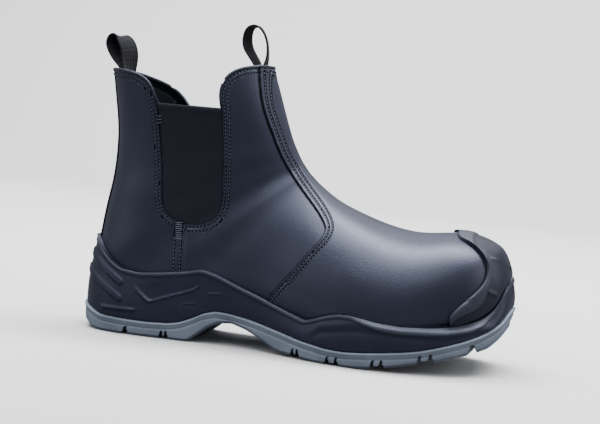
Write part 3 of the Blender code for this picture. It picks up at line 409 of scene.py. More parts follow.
def flatPattern(rows, turns):
    rowValues = evenRows(rows)
    turnValues = evenTurns(turns)
    flat = np.zeros((rows, turns, 3))
    flat[..., 0] = rowValues[:, None]
    flat[..., 1] = turnValues[None, :]
    return gridBody(flat)


def places(body):
    return np.array([vert.co[:2] for vert in body.verts])


def onLast(flat):
    return lastPoints(flat[:, 0], flat[:, 1])


def outwardAt(flat):
    far = skinPoints(flat[:, 0], flat[:, 1], np.ones(len(flat)))
    return far - skinPoints(flat[:, 0], flat[:, 1], np.zeros(len(flat)))


# Crossings this near an edge's end, as a share of the edge, use the vertex that is there
snapShare = 0.04


def scoreEdges(body, value):
    # Puts points where the vertices' values change sign, joined by edges
    body.verts.index_update()
    scored = []
    for edge in list(body.edges):
        first, last = edge.verts
        a, b = value[first.index], value[last.index]
        if (a > 0) == (b > 0):
            continue
        share = a / (a - b)
        if share < snapShare or share > 1 - snapShare:
            scored.append(first if share < 0.5 else last)
            continue
        scored.append(bmesh.utils.edge_split(edge, first, share)[1])
    # Each vertex once, in a fixed order, so that every run gives the same lines
    scored = list(dict.fromkeys(scored))
    bmesh.ops.connect_verts(body, verts=scored)
    return scored


def scoreLine(body, field, level=0.0):
    return scoreEdges(body, field(onLast(places(body))) - level)


def cutAway(body, field):
    scoreLine(body, field)
    centres = np.array([face.calc_center_median()[:2] for face in body.faces])
    gone = [face for face, keep in zip(list(body.faces), field(onLast(centres))) if keep < 0]
    bmesh.ops.delete(body, geom=gone, context="FACES")


def chains(edges):
    # Edges joined end to end as lists of vertices
    near = {}
    for edge in edges:
        first, last = edge.verts
        near.setdefault(first, []).append(last)
        near.setdefault(last, []).append(first)
    ends = [vert for vert, others in near.items() if len(others) == 1]
    used = set()
    lines = []
    for start in ends + list(near):
        if start in used:
            continue
        line = [start]
        used.add(start)
        while True:
            ahead = [other for other in near[line[-1]] if other not in used]
            if not ahead:
                break
            line.append(ahead[0])
            used.add(ahead[0])
        if len(line) > 1:
            lines.append(line)
    return lines


def contour(field, level, rows=150, turns=190, shortest=0.008):
    body = flatPattern(rows, turns)
    scored = set(scoreLine(body, field, level))
    edges = [edge for edge in body.edges if edge.verts[0] in scored and edge.verts[1] in scored]
    lines = [np.array([vert.co[:2] for vert in line]) for line in chains(edges)]
    body.free()
    return [line for line in lines if pathRun(onLast(line))[-1] > shortest]


def evenPath(flat, spacing):
    # Even points along a flat line once it is laid on the last, smoothed a little
    for _ in range(3):
        flat = np.concatenate([flat[:1], (flat[:-2] + 2 * flat[1:-1] + flat[2:]) / 4, flat[-1:]])
    run = pathRun(onLast(flat))
    wanted = np.arange(spacing / 2, run[-1], spacing)
    return np.stack([np.interp(wanted, run, flat[:, i]) for i in (0, 1)], axis=1)


def sweep(points, normals, section, closed=False):
    # A section, given as pairs of sideways and outward sizes, run along a path
    way = np.gradient(points, axis=0)
    if closed:
        way = np.roll(points, -1, axis=0) - np.roll(points, 1, axis=0)
    way /= np.linalg.norm(way, axis=1, keepdims=True)
    side = np.cross(way, normals)
    side /= np.linalg.norm(side, axis=1, keepdims=True)
    up = np.cross(side, way)
    section = np.asarray(section)
    grid = points[:, None] + side[:, None] * section[None, :, :1] + up[:, None] * section[None, :, 1:]
    if closed:
        grid = np.concatenate([grid, grid[:1]])
    return gridBody(grid, around=True, capped=not closed)


def roundSection(width, height, sides=10):
    turn = np.arange(sides) * 2 * math.pi / sides
    return np.stack([np.cos(turn) * width / 2, np.sin(turn) * height / 2], axis=1)


def joinBodies(bodies):
    whole = bmesh.new()
    for body in bodies:
        mesh = bpy.data.meshes.new("join")
        body.to_mesh(mesh)
        body.free()
        whole.from_mesh(mesh)
        bpy.data.meshes.remove(mesh)
    return whole


thread = dict(pitch=0.0026, length=0.0021, width=0.00062, height=0.00050, sink=0.00006)


def stitchBody(centres, ways, normals, size=thread):
    # One small rounded stitch at each centre
    seed = bmesh.new()
    bmesh.ops.create_uvsphere(seed, u_segments=8, v_segments=6, radius=0.5)
    shape = np.array([vert.co[:] for vert in seed.verts])
    seed.verts.index_update()
    faces = [[vert.index for vert in face.verts] for face in seed.faces]
    seed.free()
    shape[:, 0] *= size["length"]
    shape[:, 1] *= size["width"]
    shape[:, 2] *= size["height"]
    side = np.cross(normals, ways)
    side /= np.linalg.norm(side, axis=1, keepdims=True)
    up = np.cross(ways, side)
    spots = centres - up * size["sink"]
    grid = spots[:, None] + ways[:, None] * shape[None, :, :1] + side[:, None] * shape[None, :, 1:2]
    grid = grid + up[:, None] * shape[None, :, 2:]
    count = len(shape)
    mesh = bpy.data.meshes.new("stitches")
    every = [[index + step * count for index in face] for step in range(len(spots)) for face in faces]
    mesh.from_pydata(grid.reshape(-1, 3).tolist(), [], every)
    body = bmesh.new()
    body.from_mesh(mesh)
    bpy.data.meshes.remove(mesh)
    return body


def rowOfStitches(flat, lift, size=thread):
    even = evenPath(flat, size["pitch"])
    normals = outwardAt(even)
    points = onLast(even)
    centres = points + normals * lift(points)[:, None]
    ways = np.gradient(centres, axis=0)
    ways /= np.linalg.norm(ways, axis=1, keepdims=True)
    return stitchBody(centres, ways, normals, size)


# Surfaces


def newTree(name):
    surface = bpy.data.materials.new(name)
    surface.use_nodes = True
    return surface, surface.node_tree, surface.node_tree.nodes["Principled BSDF"]


def addNode(tree, kind, where=(0, 0), **settings):
    node = tree.nodes.new(kind)
    node.location = where
    for name, value in settings.items():
        setattr(node, name, value)
    return node


def setInputs(node, **values):
    for name, value in values.items():
        node.inputs[name.replace("_", " ")].default_value = value
    return node


def newGroup(name, inputs, outputs):
    tree = bpy.data.node_groups.new(name, "ShaderNodeTree")
    for label, kind, value in inputs:
        socket = tree.interface.new_socket(label, in_out="INPUT", socket_type=kind)
        if value is not None:
            socket.default_value = value
    for label, kind in outputs:
        tree.interface.new_socket(label, in_out="OUTPUT", socket_type=kind)
    return tree, tree.nodes.new("NodeGroupInput"), tree.nodes.new("NodeGroupOutput")


def useGroup(tree, group, **values):
    node = addNode(tree, "ShaderNodeGroup")
    node.node_tree = group
    return setInputs(node, **values)


def mathNode(tree, operation, first, second=0.0, third=0.0):
    node = addNode(tree, "ShaderNodeMath", operation=operation)
    for socket, value in zip(node.inputs, (first, second, third)):
        if isinstance(value, (int, float)):
            socket.default_value = value
        else:
            tree.links.new(value, socket)
    return node.outputs[0]


def colourMix(tree, share, first, second):
    node = addNode(tree, "ShaderNodeMix", data_type="RGBA")
    for socket, value in ((node.inputs[0], share), (node.inputs[6], first), (node.inputs[7], second)):
        if hasattr(value, "links"):
            tree.links.new(value, socket)
        elif isinstance(value, (int, float)):
            socket.default_value = value
        else:
            socket.default_value = (*value, 1.0)
    return node.outputs[2]


def ramp(tree, value, low, high, start=0.0, end=1.0):
    node = addNode(tree, "ShaderNodeMapRange")
    node.interpolation_type = "SMOOTHSTEP"
    tree.links.new(value, node.inputs["Value"])
    setInputs(node, From_Min=low, From_Max=high, To_Min=start, To_Max=end)
    return node.outputs["Result"]


# Grain: fine pores over a soft leather or moulded skin, and slow blotches. Scale is per metre.
grainGroup, grainIn, grainOut = newGroup(
    "fineGrain",
    (("Scale", "NodeSocketFloat", 900.0), ("Blotch", "NodeSocketFloat", 14.0)),
    (("Height", "NodeSocketFloat"), ("Blotches", "NodeSocketFloat")),
)
grainPlace = addNode(grainGroup, "ShaderNodeTexCoord")
grainCells = setInputs(addNode(grainGroup, "ShaderNodeTexVoronoi"), Randomness=1.0)
grainPores = setInputs(addNode(grainGroup, "ShaderNodeTexNoise"), Detail=3.0, Roughness=0.6)
grainSlow = setInputs(addNode(grainGroup, "ShaderNodeTexNoise"), Detail=3.0, Roughness=0.55)
for node in (grainCells, grainPores, grainSlow):
    grainGroup.links.new(grainPlace.outputs["Object"], node.inputs["Vector"])
grainGroup.links.new(grainIn.outputs["Scale"], grainCells.inputs["Scale"])
poreScale = mathNode(grainGroup, "MULTIPLY", grainIn.outputs["Scale"], 0.45)
grainGroup.links.new(poreScale, grainPores.inputs["Scale"])
grainGroup.links.new(grainIn.outputs["Blotch"], grainSlow.inputs["Scale"])
grainHeight = mathNode(
    grainGroup, "MULTIPLY_ADD", grainPores.outputs["Fac"], 0.7, grainCells.outputs["Distance"]
)
grainGroup.links.new(grainHeight, grainOut.inputs["Height"])
grainGroup.links.new(grainSlow.outputs["Fac"], grainOut.inputs["Blotches"])

# Scuffs: short stretched marks, sparse and faint
scuffGroup, scuffIn, scuffOut = newGroup(
    "fineScuffs", (("Amount", "NodeSocketFloat", 0.5),), (("Scuffs", "NodeSocketFloat"),)
)
scuffPlace = addNode(scuffGroup, "ShaderNodeTexCoord")
scuffTurn = addNode(scuffGroup, "ShaderNodeMapping")
setInputs(scuffTurn, Rotation=(0.3, 0.5, 0.2), Scale=(26.0, 60.0, 190.0))
scuffLines = setInputs(addNode(scuffGroup, "ShaderNodeTexNoise"), Scale=1.0, Detail=4.0, Roughness=0.65)
scuffGate = setInputs(addNode(scuffGroup, "ShaderNodeTexNoise"), Scale=30.0, Detail=1.0)
scuffGroup.links.new(scuffPlace.outputs["Object"], scuffTurn.inputs["Vector"])
scuffGroup.links.new(scuffTurn.outputs["Vector"], scuffLines.inputs["Vector"])
scuffGroup.links.new(scuffPlace.outputs["Object"], scuffGate.inputs["Vector"])
scuffMarks = mathNode(
    scuffGroup, "MULTIPLY",
    ramp(scuffGroup, scuffLines.outputs["Fac"], 0.60, 0.74),
    ramp(scuffGroup, scuffGate.outputs["Fac"], 0.50, 0.66),
)
scuffGroup.links.new(
    mathNode(scuffGroup, "MULTIPLY", scuffMarks, scuffIn.outputs["Amount"]), scuffOut.inputs["Scuffs"]
)


def skinSurface(name, look):
    # A leather or moulded skin: two tones, grain, slow changes of gloss, and scuffs. A piece may carry
    # painted shade that darkens it and dulls its shine, and a painted highlight that lightens it like a scuff
    surface, tree, shader = newTree(name)
    grain = useGroup(tree, grainGroup, Scale=look["grainScale"], Blotch=look["blotchScale"])
    scuffs = useGroup(tree, scuffGroup, Amount=look["scuffs"])
    seam = addNode(tree, "ShaderNodeAttribute", attribute_name="seam")
    paintedHighlight = addNode(tree, "ShaderNodeAttribute", attribute_name="paintedHighlight")
    blotches = ramp(tree, grain.outputs["Blotches"], 0.35, 0.68)
    colour = colourMix(tree, blotches, look["dark"], look["light"])
    # The painted highlight lightens the skin towards the same pale colour as the scuffs
    highlightShare = mathNode(tree, "MULTIPLY", paintedHighlight.outputs["Fac"], 0.8)
    wearAndHighlightShare = mathNode(tree, "MAXIMUM", scuffs.outputs["Scuffs"], highlightShare)
    scuffAndHighlight = colourMix(tree, wearAndHighlightShare, colour, look["scuffAndHighlight"])
    shaded = colourMix(tree, mathNode(tree, "MULTIPLY", seam.outputs["Fac"], 0.92), scuffAndHighlight, look["seam"])
    tree.links.new(shaded, shader.inputs["Base Color"])
    gloss = mathNode(tree, "MULTIPLY_ADD", blotches, look["glossRange"], look["roughness"])
    scuffed = mathNode(tree, "MULTIPLY_ADD", scuffs.outputs["Scuffs"], 0.22, gloss)
    rough = mathNode(tree, "MULTIPLY_ADD", seam.outputs["Fac"], 0.30, scuffed)
    tree.links.new(rough, shader.inputs["Roughness"])
    shine = mathNode(tree, "MULTIPLY_ADD", seam.outputs["Fac"], -0.85, 1.0)
    tree.links.new(mathNode(tree, "MULTIPLY", shine, look["specular"]), shader.inputs["Specular IOR Level"])
    tree.links.new(mathNode(tree, "MULTIPLY", shine, look["coat"]), shader.inputs["Coat Weight"])
    bump = setInputs(addNode(tree, "ShaderNodeBump"), Strength=look["bump"], Distance=look["depth"])
    tree.links.new(grain.outputs["Height"], bump.inputs["Height"])
    tree.links.new(bump.outputs["Normal"], shader.inputs["Normal"])
    setInputs(shader, Specular_Tint=(*look["sheen"], 1.0), Coat_Roughness=look["coatRoughness"])
    return surface


def weaveSurface(name, look):
    # Woven or ribbed cloth drawn in the piece's own UV, in metres. Its colour follows the ribs' height,
    # darker in the grooves and lighter on the crests: painted shade and highlight
    surface, tree, shader = newTree(name)
    cloth = addNode(tree, "ShaderNodeUVMap", uv_map="cloth")
    split = addNode(tree, "ShaderNodeSeparateXYZ")
    tree.links.new(cloth.outputs["UV"], split.inputs["Vector"])
    ribs = mathNode(tree, "SINE", mathNode(tree, "MULTIPLY", split.outputs["X"], 2 * math.pi / look["rib"]))
    picks = mathNode(tree, "SINE", mathNode(tree, "MULTIPLY", split.outputs["Y"], 2 * math.pi / look["pick"]))
    height = mathNode(tree, "MULTIPLY_ADD", picks, look["pickShare"], ribs)
    grain = useGroup(tree, grainGroup, Scale=1600.0, Blotch=60.0)
    fuzz = mathNode(tree, "MULTIPLY_ADD", grain.outputs["Height"], 0.7, height)
    shade = ramp(tree, fuzz, -1.0, 2.2)
    tree.links.new(colourMix(tree, shade, look["dark"], look["light"]), shader.inputs["Base Color"])
    bump = setInputs(addNode(tree, "ShaderNodeBump"), Strength=look["bump"], Distance=look["depth"])
    tree.links.new(fuzz, bump.inputs["Height"])
    tree.links.new(bump.outputs["Normal"], shader.inputs["Normal"])
    setInputs(shader, Roughness=look["roughness"], Specular_IOR_Level=0.25)
    setInputs(shader, Sheen_Weight=look["sheen"], Sheen_Roughness=0.5)
    return surface


def clothMap(body, size):
    # UV in metres, from a function of each vertex's place
    layer = body.loops.layers.uv.new("cloth")
    for face in body.faces:
        for loop in face.loops:
            loop[layer].uv = size(loop.vert)


upperLook = dict(
    dark=(0.0090, 0.0098, 0.0230), light=(0.0140, 0.0152, 0.0330), scuffAndHighlight=(0.036, 0.041, 0.060),
    seam=(0.0015, 0.0017, 0.0030), grainScale=1150.0, blotchScale=16.0, scuffs=0.25, roughness=0.41,
    glossRange=0.08, bump=0.16, depth=0.0004, specular=0.85, coat=0.06, coatRoughness=0.30,
    sheen=(0.70, 0.77, 1.0),
)
edgeLook = dict(
    upperLook, dark=(0.004, 0.0045, 0.0085), light=(0.007, 0.0075, 0.0130), roughness=0.46, coat=0.05,
)
foamLook = dict(
    dark=(0.0095, 0.0110, 0.0250), light=(0.0150, 0.0175, 0.0360), scuffAndHighlight=(0.085, 0.095, 0.125),
    seam=(0.002, 0.002, 0.004), grainScale=700.0, blotchScale=22.0, scuffs=0.22, roughness=0.42,
    glossRange=0.10, bump=0.22, depth=0.0003, specular=0.60, coat=0.04, coatRoughness=0.40,
    sheen=(0.72, 0.78, 1.0),
)
guardLook = dict(
    foamLook, dark=(0.009, 0.010, 0.020), light=(0.014, 0.016, 0.029), scuffAndHighlight=(0.060, 0.066, 0.085),
    roughness=0.38,
)
treadLook = dict(
    dark=(0.205, 0.245, 0.310), light=(0.280, 0.330, 0.405), scuffAndHighlight=(0.430, 0.480, 0.540),
    seam=(0.02, 0.02, 0.03), grainScale=520.0,
    blotchScale=30.0, scuffs=0.60, roughness=0.60, glossRange=0.12, bump=0.25, depth=0.0004,
    specular=0.40, coat=0.0, coatRoughness=0.5, sheen=(0.85, 0.92, 1.0),
)
goreLook = dict(
    rib=0.00125, pick=0.0009, pickShare=0.35, dark=(0.0120, 0.0135, 0.0220), light=(0.0270, 0.0300, 0.0440),
    bump=0.4, depth=0.0002, roughness=0.90, sheen=0.08,
)
webbingLook = dict(
    rib=0.0016, pick=0.0011, pickShare=0.9, dark=(0.0020, 0.0020, 0.0050), light=(0.0100, 0.0098, 0.0200),
    bump=0.6, depth=0.0003, roughness=0.80, sheen=0.08,
)
liningLook = dict(
    rib=0.0014, pick=0.0014, pickShare=1.0, dark=(0.004, 0.005, 0.007), light=(0.011, 0.012, 0.016),
    bump=0.4, depth=0.0002, roughness=0.92, sheen=0.10,
)
leather = skinSurface("navyBlackLeather", upperLook)
boundLeather = skinSurface("boundEdgeLeather", edgeLook)
foam = skinSurface("mouldedFoam", foamLook)
guardRubber = skinSurface("guardRubber", guardLook)
treadRubber = skinSurface("treadRubber", treadLook)
elastic = weaveSurface("ribbedElastic", goreLook)
webbing = weaveSurface("wovenWebbing", webbingLook)
lining = skinSurface("liningTextile", dict(
    edgeLook, dark=(0.004, 0.005, 0.007), light=(0.009, 0.010, 0.014), roughness=0.85, coat=0.0, specular=0.2,
    grainScale=900.0, bump=0.5,
))
threadShade = skinSurface("waxedThread", dict(
    edgeLook, dark=(0.100, 0.110, 0.150), light=(0.180, 0.195, 0.250), roughness=0.45, coat=0.0, bump=0.0,
))
print("surfaces done")


# Upper

upperPlan = dict(
    rows=180, turns=168, stepSoft=0.0006, stepDark=0.0013, bandRise=0.00035, edgeRound=0.0011,
    edgeShare=0.8, edgeDark=0.9, bedGap=0.0004, furrowDepth=0.00040, furrowInner=0.00038,
    furrowOuter=0.00085, bandSoft=0.0012, panelSoft=0.0006, panelFade=(0.002, 0.012), panelRise=0.0004,
    darkInner=0.0005, darkOuter=0.00068, stripFront=-0.005, behind=-0.09, above=0.24,
)
seamRows = (0.0020, 0.0044)
collarRows = (0.0022, 0.0050)

# Soft creases and swells: from one side point to another, with a depth and a half width in metres
Crease = namedtuple("Crease", "along up endAlong endUp depth width side")
creases = (
    Crease(0.500, 0.600, 0.440, 0.430, -0.00035, 0.0075, -1),
    Crease(0.505, 0.600, 0.445, 0.430, -0.00035, 0.0075, 1),
    Crease(0.420, 0.560, 0.350, 0.470, -0.00025, 0.0065, -1),
    Crease(0.640, 0.400, 0.600, 0.300, -0.0003, 0.0080, -1),
    Crease(0.645, 0.405, 0.605, 0.300, -0.0003, 0.0080, 1),
    Crease(0.690, 0.400, 0.665, 0.300, -0.00025, 0.0080, -1),
    Crease(0.200, 0.360, 0.330, 0.350, 0.0004, 0.0070, -1),
    Crease(0.060, 0.500, 0.110, 0.420, -0.00025, 0.0080, -1),
    Crease(0.060, 0.480, 0.110, 0.400, -0.00025, 0.0080, 1),
)


def goreOutline(gap=0.0):
    back = np.array([[along(row.back), row.up * shaftHeight] for row in goreRows])
    front = np.array([[along(row.front), row.up * shaftHeight] for row in goreRows])[::-1]
    corners = np.concatenate([back, front])
    run = pathRun(corners)
    wanted = np.linspace(0, run[-1], 90)
    outline = np.stack([curveThrough(run, corners[:, i], wanted) for i in (0, 1)], axis=1)
    tangent = np.gradient(outline, axis=0)
    inward = np.stack([-tangent[:, 1], tangent[:, 0]], axis=1)
    inward /= np.linalg.norm(inward, axis=1, keepdims=True)
    return outline + inward * gap


def collarOutline(backRows):
    back = smoothLine(backRows, 40)
    front = smoothLine(collarFront, 40)
    high = upperPlan["above"]
    corners = [[back[0, 0], high], *back, *goreOutline()[1:-1], *front, [front[-1, 0], high]]
    return np.array(corners)


seamLine = smoothLine(vampSeam, 80)
quarterBack = [[upperPlan["behind"], seamLine[end, 1]] for end in (-1, 0)]
quarterOutline = np.array([*seamLine, *quarterBack])
collarOutlines = {-1: collarOutline(collarBack), 1: collarOutline(collarBackMedial)}


def collarField(points):
    flat = points[:, [0, 2]]
    near = outlineDistance(flat, collarOutlines[-1])
    far = outlineDistance(flat, collarOutlines[1])
    return np.where(points[:, 1] < 0, near, far)


def vampField(points):
    return outlineDistance(points[:, [0, 2]], quarterOutline)


def stripField(points):
    high = points[:, 2] - backStripLow * shaftHeight
    behind = upperPlan["stripFront"] - points[:, 0]
    return np.minimum(backStripWidth / 2 - np.abs(points[:, 1]), np.minimum(high, behind))


def bedField(points):
    return points[:, 2] - heightAt(footbedLine, points[:, 0]) - upperPlan["bedGap"]


def offsetFrom(points, start, end):
    # Each point's offset from a line, its distance, and the share of the way along it
    start = np.asarray(start)
    way = np.asarray(end) - start
    rel = points - start
    share = np.clip(rel @ way / (way @ way), 0, 1)
    offset = rel - share[:, None] * way
    return offset, np.linalg.norm(offset, axis=1), share


# The side seam under each gore: two rows of stitches, then the panel's edge
SideLine = namedtuple("SideLine", "x z endX endZ")
sideSeamRows = (SideLine(0.0330, 0.0790, 0.0345, 0.0400), SideLine(0.0378, 0.0790, 0.0394, 0.0400))
TackBed = namedtuple("TackBed", "x z wide high")
tackBed = TackBed(0.0356, 0.0758, 0.0026, 0.0050)
sideSeamEdge = SideLine(0.0412, 0.0775, 0.0434, 0.0400)


def acrossLine(points, line):
    # How far ahead of a steep side view line, and far off beyond its ends
    share = (line.z - points[:, 2]) / (line.z - line.endZ)
    ahead = points[:, 0] - (line.x + share * (line.endX - line.x))
    return np.where((share > 0) & (share < 1), ahead, np.where(ahead > 0, 1.0, -1.0))


def furrowShare(points):
    # Nought away from the stitch rows, one along them
    vamp = vampField(points)
    collar = collarField(points)
    gaps = [np.abs(vamp - level) for level in seamRows]
    gaps += [np.abs(collar - level) for level in collarRows]
    gaps += [np.abs(acrossLine(points, row)) for row in sideSeamRows]
    beside = np.abs(points[:, 0] - tackBed.x) - tackBed.wide
    beyond = np.abs(points[:, 2] - tackBed.z) - tackBed.high
    gaps.append(np.maximum(np.maximum(beside, beyond), 0))
    return 1 - softStep(np.min(gaps, axis=0), upperPlan["furrowInner"], upperPlan["furrowOuter"])


def creaseLift(points):
    lift = np.zeros(len(points))
    for crease in creases:
        start = (along(crease.along), crease.up * shaftHeight)
        end = (along(crease.endAlong), crease.endUp * shaftHeight)
        _, apart, share = offsetFrom(points[:, [0, 2]], start, end)
        taper = np.sin(np.pi * np.clip(share, 0.04, 0.96))
        on = points[:, 1] * crease.side > 0
        lift += on * crease.depth * taper * np.exp(-((apart / crease.width) ** 2))
    return lift


def upperLift(points, edge=True):
    # How far the leather stands over the last at each point
    vamp = np.interp(vampField(points), (-upperPlan["stepSoft"], 0), (0, 1))
    strip = np.interp(stripField(points), (-upperPlan["stepSoft"], 0), (0, 1))
    collar = collarField(points)
    band = 1 - softStep(collar, collarRows[1], collarRows[1] + upperPlan["bandSoft"])
    ahead = acrossLine(points, sideSeamEdge)
    panel = softStep(ahead, -upperPlan["panelSoft"], 0) * (1 - softStep(ahead, *upperPlan["panelFade"]))
    lift = -stepHeight * (1 - np.maximum(vamp, strip)) + band * upperPlan["bandRise"] + creaseLift(points)
    lift = lift + panel * upperPlan["panelRise"] * (1 - vamp) - upperPlan["furrowDepth"] * furrowShare(points)
    if edge:
        short = np.clip(1 - collar / upperPlan["edgeRound"], 0, 1)
        rounded = 1 - np.sqrt(np.clip(1 - short**2, 0, 1))
        lift = lift - upperPlan["edgeRound"] * rounded * upperPlan["edgeShare"]
    return lift


def makeUpper():
    body = flatPattern(upperPlan["rows"], upperPlan["turns"])
    cutAway(body, bedField)
    cutAway(body, collarField)
    sides = [sign * upperPlan[side] for side in ("furrowInner", "furrowOuter") for sign in (-1, 1)]
    edgeLevels = (upperPlan["edgeRound"] * 0.4, upperPlan["edgeRound"])
    stepLevels = (-upperPlan["stepDark"], -upperPlan["stepSoft"], 0.0)
    for level in (*edgeLevels, *(row + side for row in collarRows for side in sides)):
        scoreLine(body, collarField, level)
    for level in (*stepLevels, *(row + side for row in seamRows for side in sides)):
        scoreLine(body, vampField, level)
    for level in stepLevels:
        scoreLine(body, stripField, level)
    for line in (*sideSeamRows, sideSeamEdge):
        for side in sides:
            scoreLine(body, lambda points: acrossLine(points, line), side)
    points = onLast(places(body))
    liftLayer = body.verts.layers.float.new("lift")
    seamLayer = body.verts.layers.float.new("seam")
    lifts = upperLift(points)
    # Painted shade darkens the stitch furrows and the bartack's bed, and painted shadow the quarter at the
    # foot of each overlapping edge, with its dark cut edge; the collar's edge under the binding is darkened
    # too
    apart = [np.abs(field(points) + upperPlan["stepSoft"]) for field in (vampField, stripField)]
    stepEdgeAndShadow = [1 - softStep(gap, upperPlan["darkInner"], upperPlan["darkOuter"]) for gap in apart]
    seams = np.max([furrowShare(points), *stepEdgeAndShadow], axis=0)
    seams = np.maximum(seams, upperPlan["edgeDark"] * (collarField(points) < upperPlan["edgeRound"] * 0.5))
    for vert, point, lift, seam in zip(body.verts, points, lifts, seams):
        vert.co = point
        vert[liftLayer] = lift
        vert[seamLayer] = seam
    bmesh.ops.remove_doubles(body, verts=body.verts, dist=2e-5)
    bmesh.ops.recalc_face_normals(body, faces=body.faces)
    body.normal_update()
    outer = max(body.verts, key=lambda vert: vert.co.x)
    facing = 1 if outer.normal.x > 0 else -1
    for vert in body.verts:
        vert.co += vert.normal * facing * vert[liftLayer]
    if facing < 0:
        bmesh.ops.reverse_faces(body, faces=body.faces)
    upper = finish(body, "bootUpper", leather, lining, sharp=38, outward=False)
    wall = upper.modifiers.new("wall", "SOLIDIFY")
    wall.thickness = upperWall
    wall.offset = -1
    wall.material_offset = 1
    wall.use_rim = True
    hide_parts("upper")
    return upper


makeUpper()
print("upper done")


# Stitches, bound edges and bartacks

trimPlan = dict(
    bindWidth=0.0022, bindHeight=0.0019, bindSink=0.0006, bindEnd=(0.160, 0.168), bindLevel=0.0003,
    bindPitch=0.0012, sideRowLift=0.0002, closedGap=0.004, collarClear=0.0018, soleLap=0.002,
)


def keepRuns(line, test, shortest=4):
    # Each run of a flat line whose points pass the test, also where the line starts inside one
    good = test(onLast(line))
    gap = np.linalg.norm(onLast(line[:1]) - onLast(line[-1:]))
    if gap < trimPlan["closedGap"] and not good.all():
        first = int(np.argmin(good))
        line = np.roll(line, -first, axis=0)
        good = np.roll(good, -first)
    turns = np.flatnonzero(np.diff([0, *good.astype(int), 0]))
    return [line[start:end] for start, end in zip(turns[::2], turns[1::2]) if end - start > shortest]


def outsideSole(points):
    return points[:, 2] > heightAt(midsoleTop, points[:, 0]) - trimPlan["soleLap"]


def onVamp(points):
    return (collarField(points) > trimPlan["collarClear"]) & outsideSole(points)


def onLobes(points):
    return points[:, 2] > trimPlan["bindEnd"][0]


def makeStitches():
    bodies = []
    for level in seamRows:
        for line in contour(vampField, level):
            for run in keepRuns(line, onVamp):
                bodies.append(rowOfStitches(run, upperLift))
    for level in collarRows:
        for line in contour(collarField, level):
            bodies.append(rowOfStitches(line, upperLift))
    stitches = finish(joinBodies(bodies), "upperStitches", threadShade, sharp=80)
    return stitches


def makeBindings():
    # A rolled edge along the collar's lobes
    bodies = []
    lines = contour(collarField, trimPlan["bindLevel"], rows=190, turns=240)
    runs = [run for line in lines for run in keepRuns(line, onLobes)]
    for run in runs:
        even = evenPath(run, trimPlan["bindPitch"])
        normals = outwardAt(even)
        points = onLast(even)
        ended = 1 - softStep(points[:, 2], *trimPlan["bindEnd"])
        sunk = trimPlan["bindSink"] + trimPlan["bindHeight"] * ended
        rolled = points + normals * (upperLift(points, edge=False) - sunk)[:, None]
        bodies.append(sweep(rolled, normals, roundSection(trimPlan["bindWidth"], trimPlan["bindHeight"])))
    piece = finish(joinBodies(bodies), "collarBinding", boundLeather, sharp=60)
    return piece


def sideTree():
    body = flatPattern(200, 200)
    for vert, point in zip(body.verts, onLast(places(body))):
        vert.co = point
    tree = BVHTree.FromBMesh(body)
    body.free()
    return tree


skinTree = sideTree()


def onSide(flat, side, probe=0.0012):
    # Skin points and outward directions straight in from one side at side view places
    def cast(x, z):
        hit = skinTree.ray_cast(Vector((x, side * 0.2, z)), Vector((0, -side, 0)))[0]
        return np.array(hit if hit is not None else (x, side * 0.03, z))

    points = np.array([cast(x, z) for x, z in flat])
    ahead = np.array([cast(x + probe, z) for x, z in flat]) - np.array([cast(x - probe, z) for x, z in flat])
    above = np.array([cast(x, z + probe) for x, z in flat]) - np.array([cast(x, z - probe) for x, z in flat])
    normals = np.cross(ahead, above) * -side
    return points, normals / np.linalg.norm(normals, axis=1, keepdims=True)


# Side view lines of bartacks and extra rows: start, end, and the stitch's size
tack = dict(pitch=0.0012, length=0.0058, width=0.0008, height=0.0006, sink=0.0001)
rung = dict(pitch=0.0014, length=0.0034, width=0.0006, height=0.0005, sink=0.0001)
SideRow = namedtuple("SideRow", "x z endX endZ size crosswise")
sideRows = (
    SideRow(0.0354, 0.0812, 0.0359, 0.0705, tack, True),
    *(SideRow(row.x, 0.0700, row.endX, row.endZ, thread, False) for row in sideSeamRows),
    SideRow(0.0166, 0.1535, 0.0171, 0.1490, rung, True),
)


def makeSideRows():
    bodies = []
    for side in (-1, 1):
        for row in sideRows:
            run = math.hypot(row.endX - row.x, row.endZ - row.z)
            share = np.linspace(0, 1, max(2, round(run / row.size["pitch"])))
            flat = np.stack([row.x + share * (row.endX - row.x), row.z + share * (row.endZ - row.z)], axis=1)
            points, normals = onSide(flat, side)
            ways = np.gradient(points, axis=0)
            if row.crosswise:
                ways = np.cross(ways, normals)
            ways /= np.linalg.norm(ways, axis=1, keepdims=True)
            lift = upperLift(points, edge=False) + trimPlan["sideRowLift"]
            bodies.append(stitchBody(points + normals * lift[:, None], ways, normals, row.size))
    rows = finish(joinBodies(bodies), "bartacks", threadShade, sharp=80)
    return rows


makeStitches()
makeBindings()
makeSideRows()
print("stitches and bindings done")


# Gores

gorePlan = dict(
    ribPitch=0.00125, ribDepth=0.00014, columns=170, rows=58, reach=0.0012, margin=0.001, hem=0.0042,
    hemSoft=0.0006, hemRise=0.0004, hemFlat=0.6, bulge=0.00045,
)


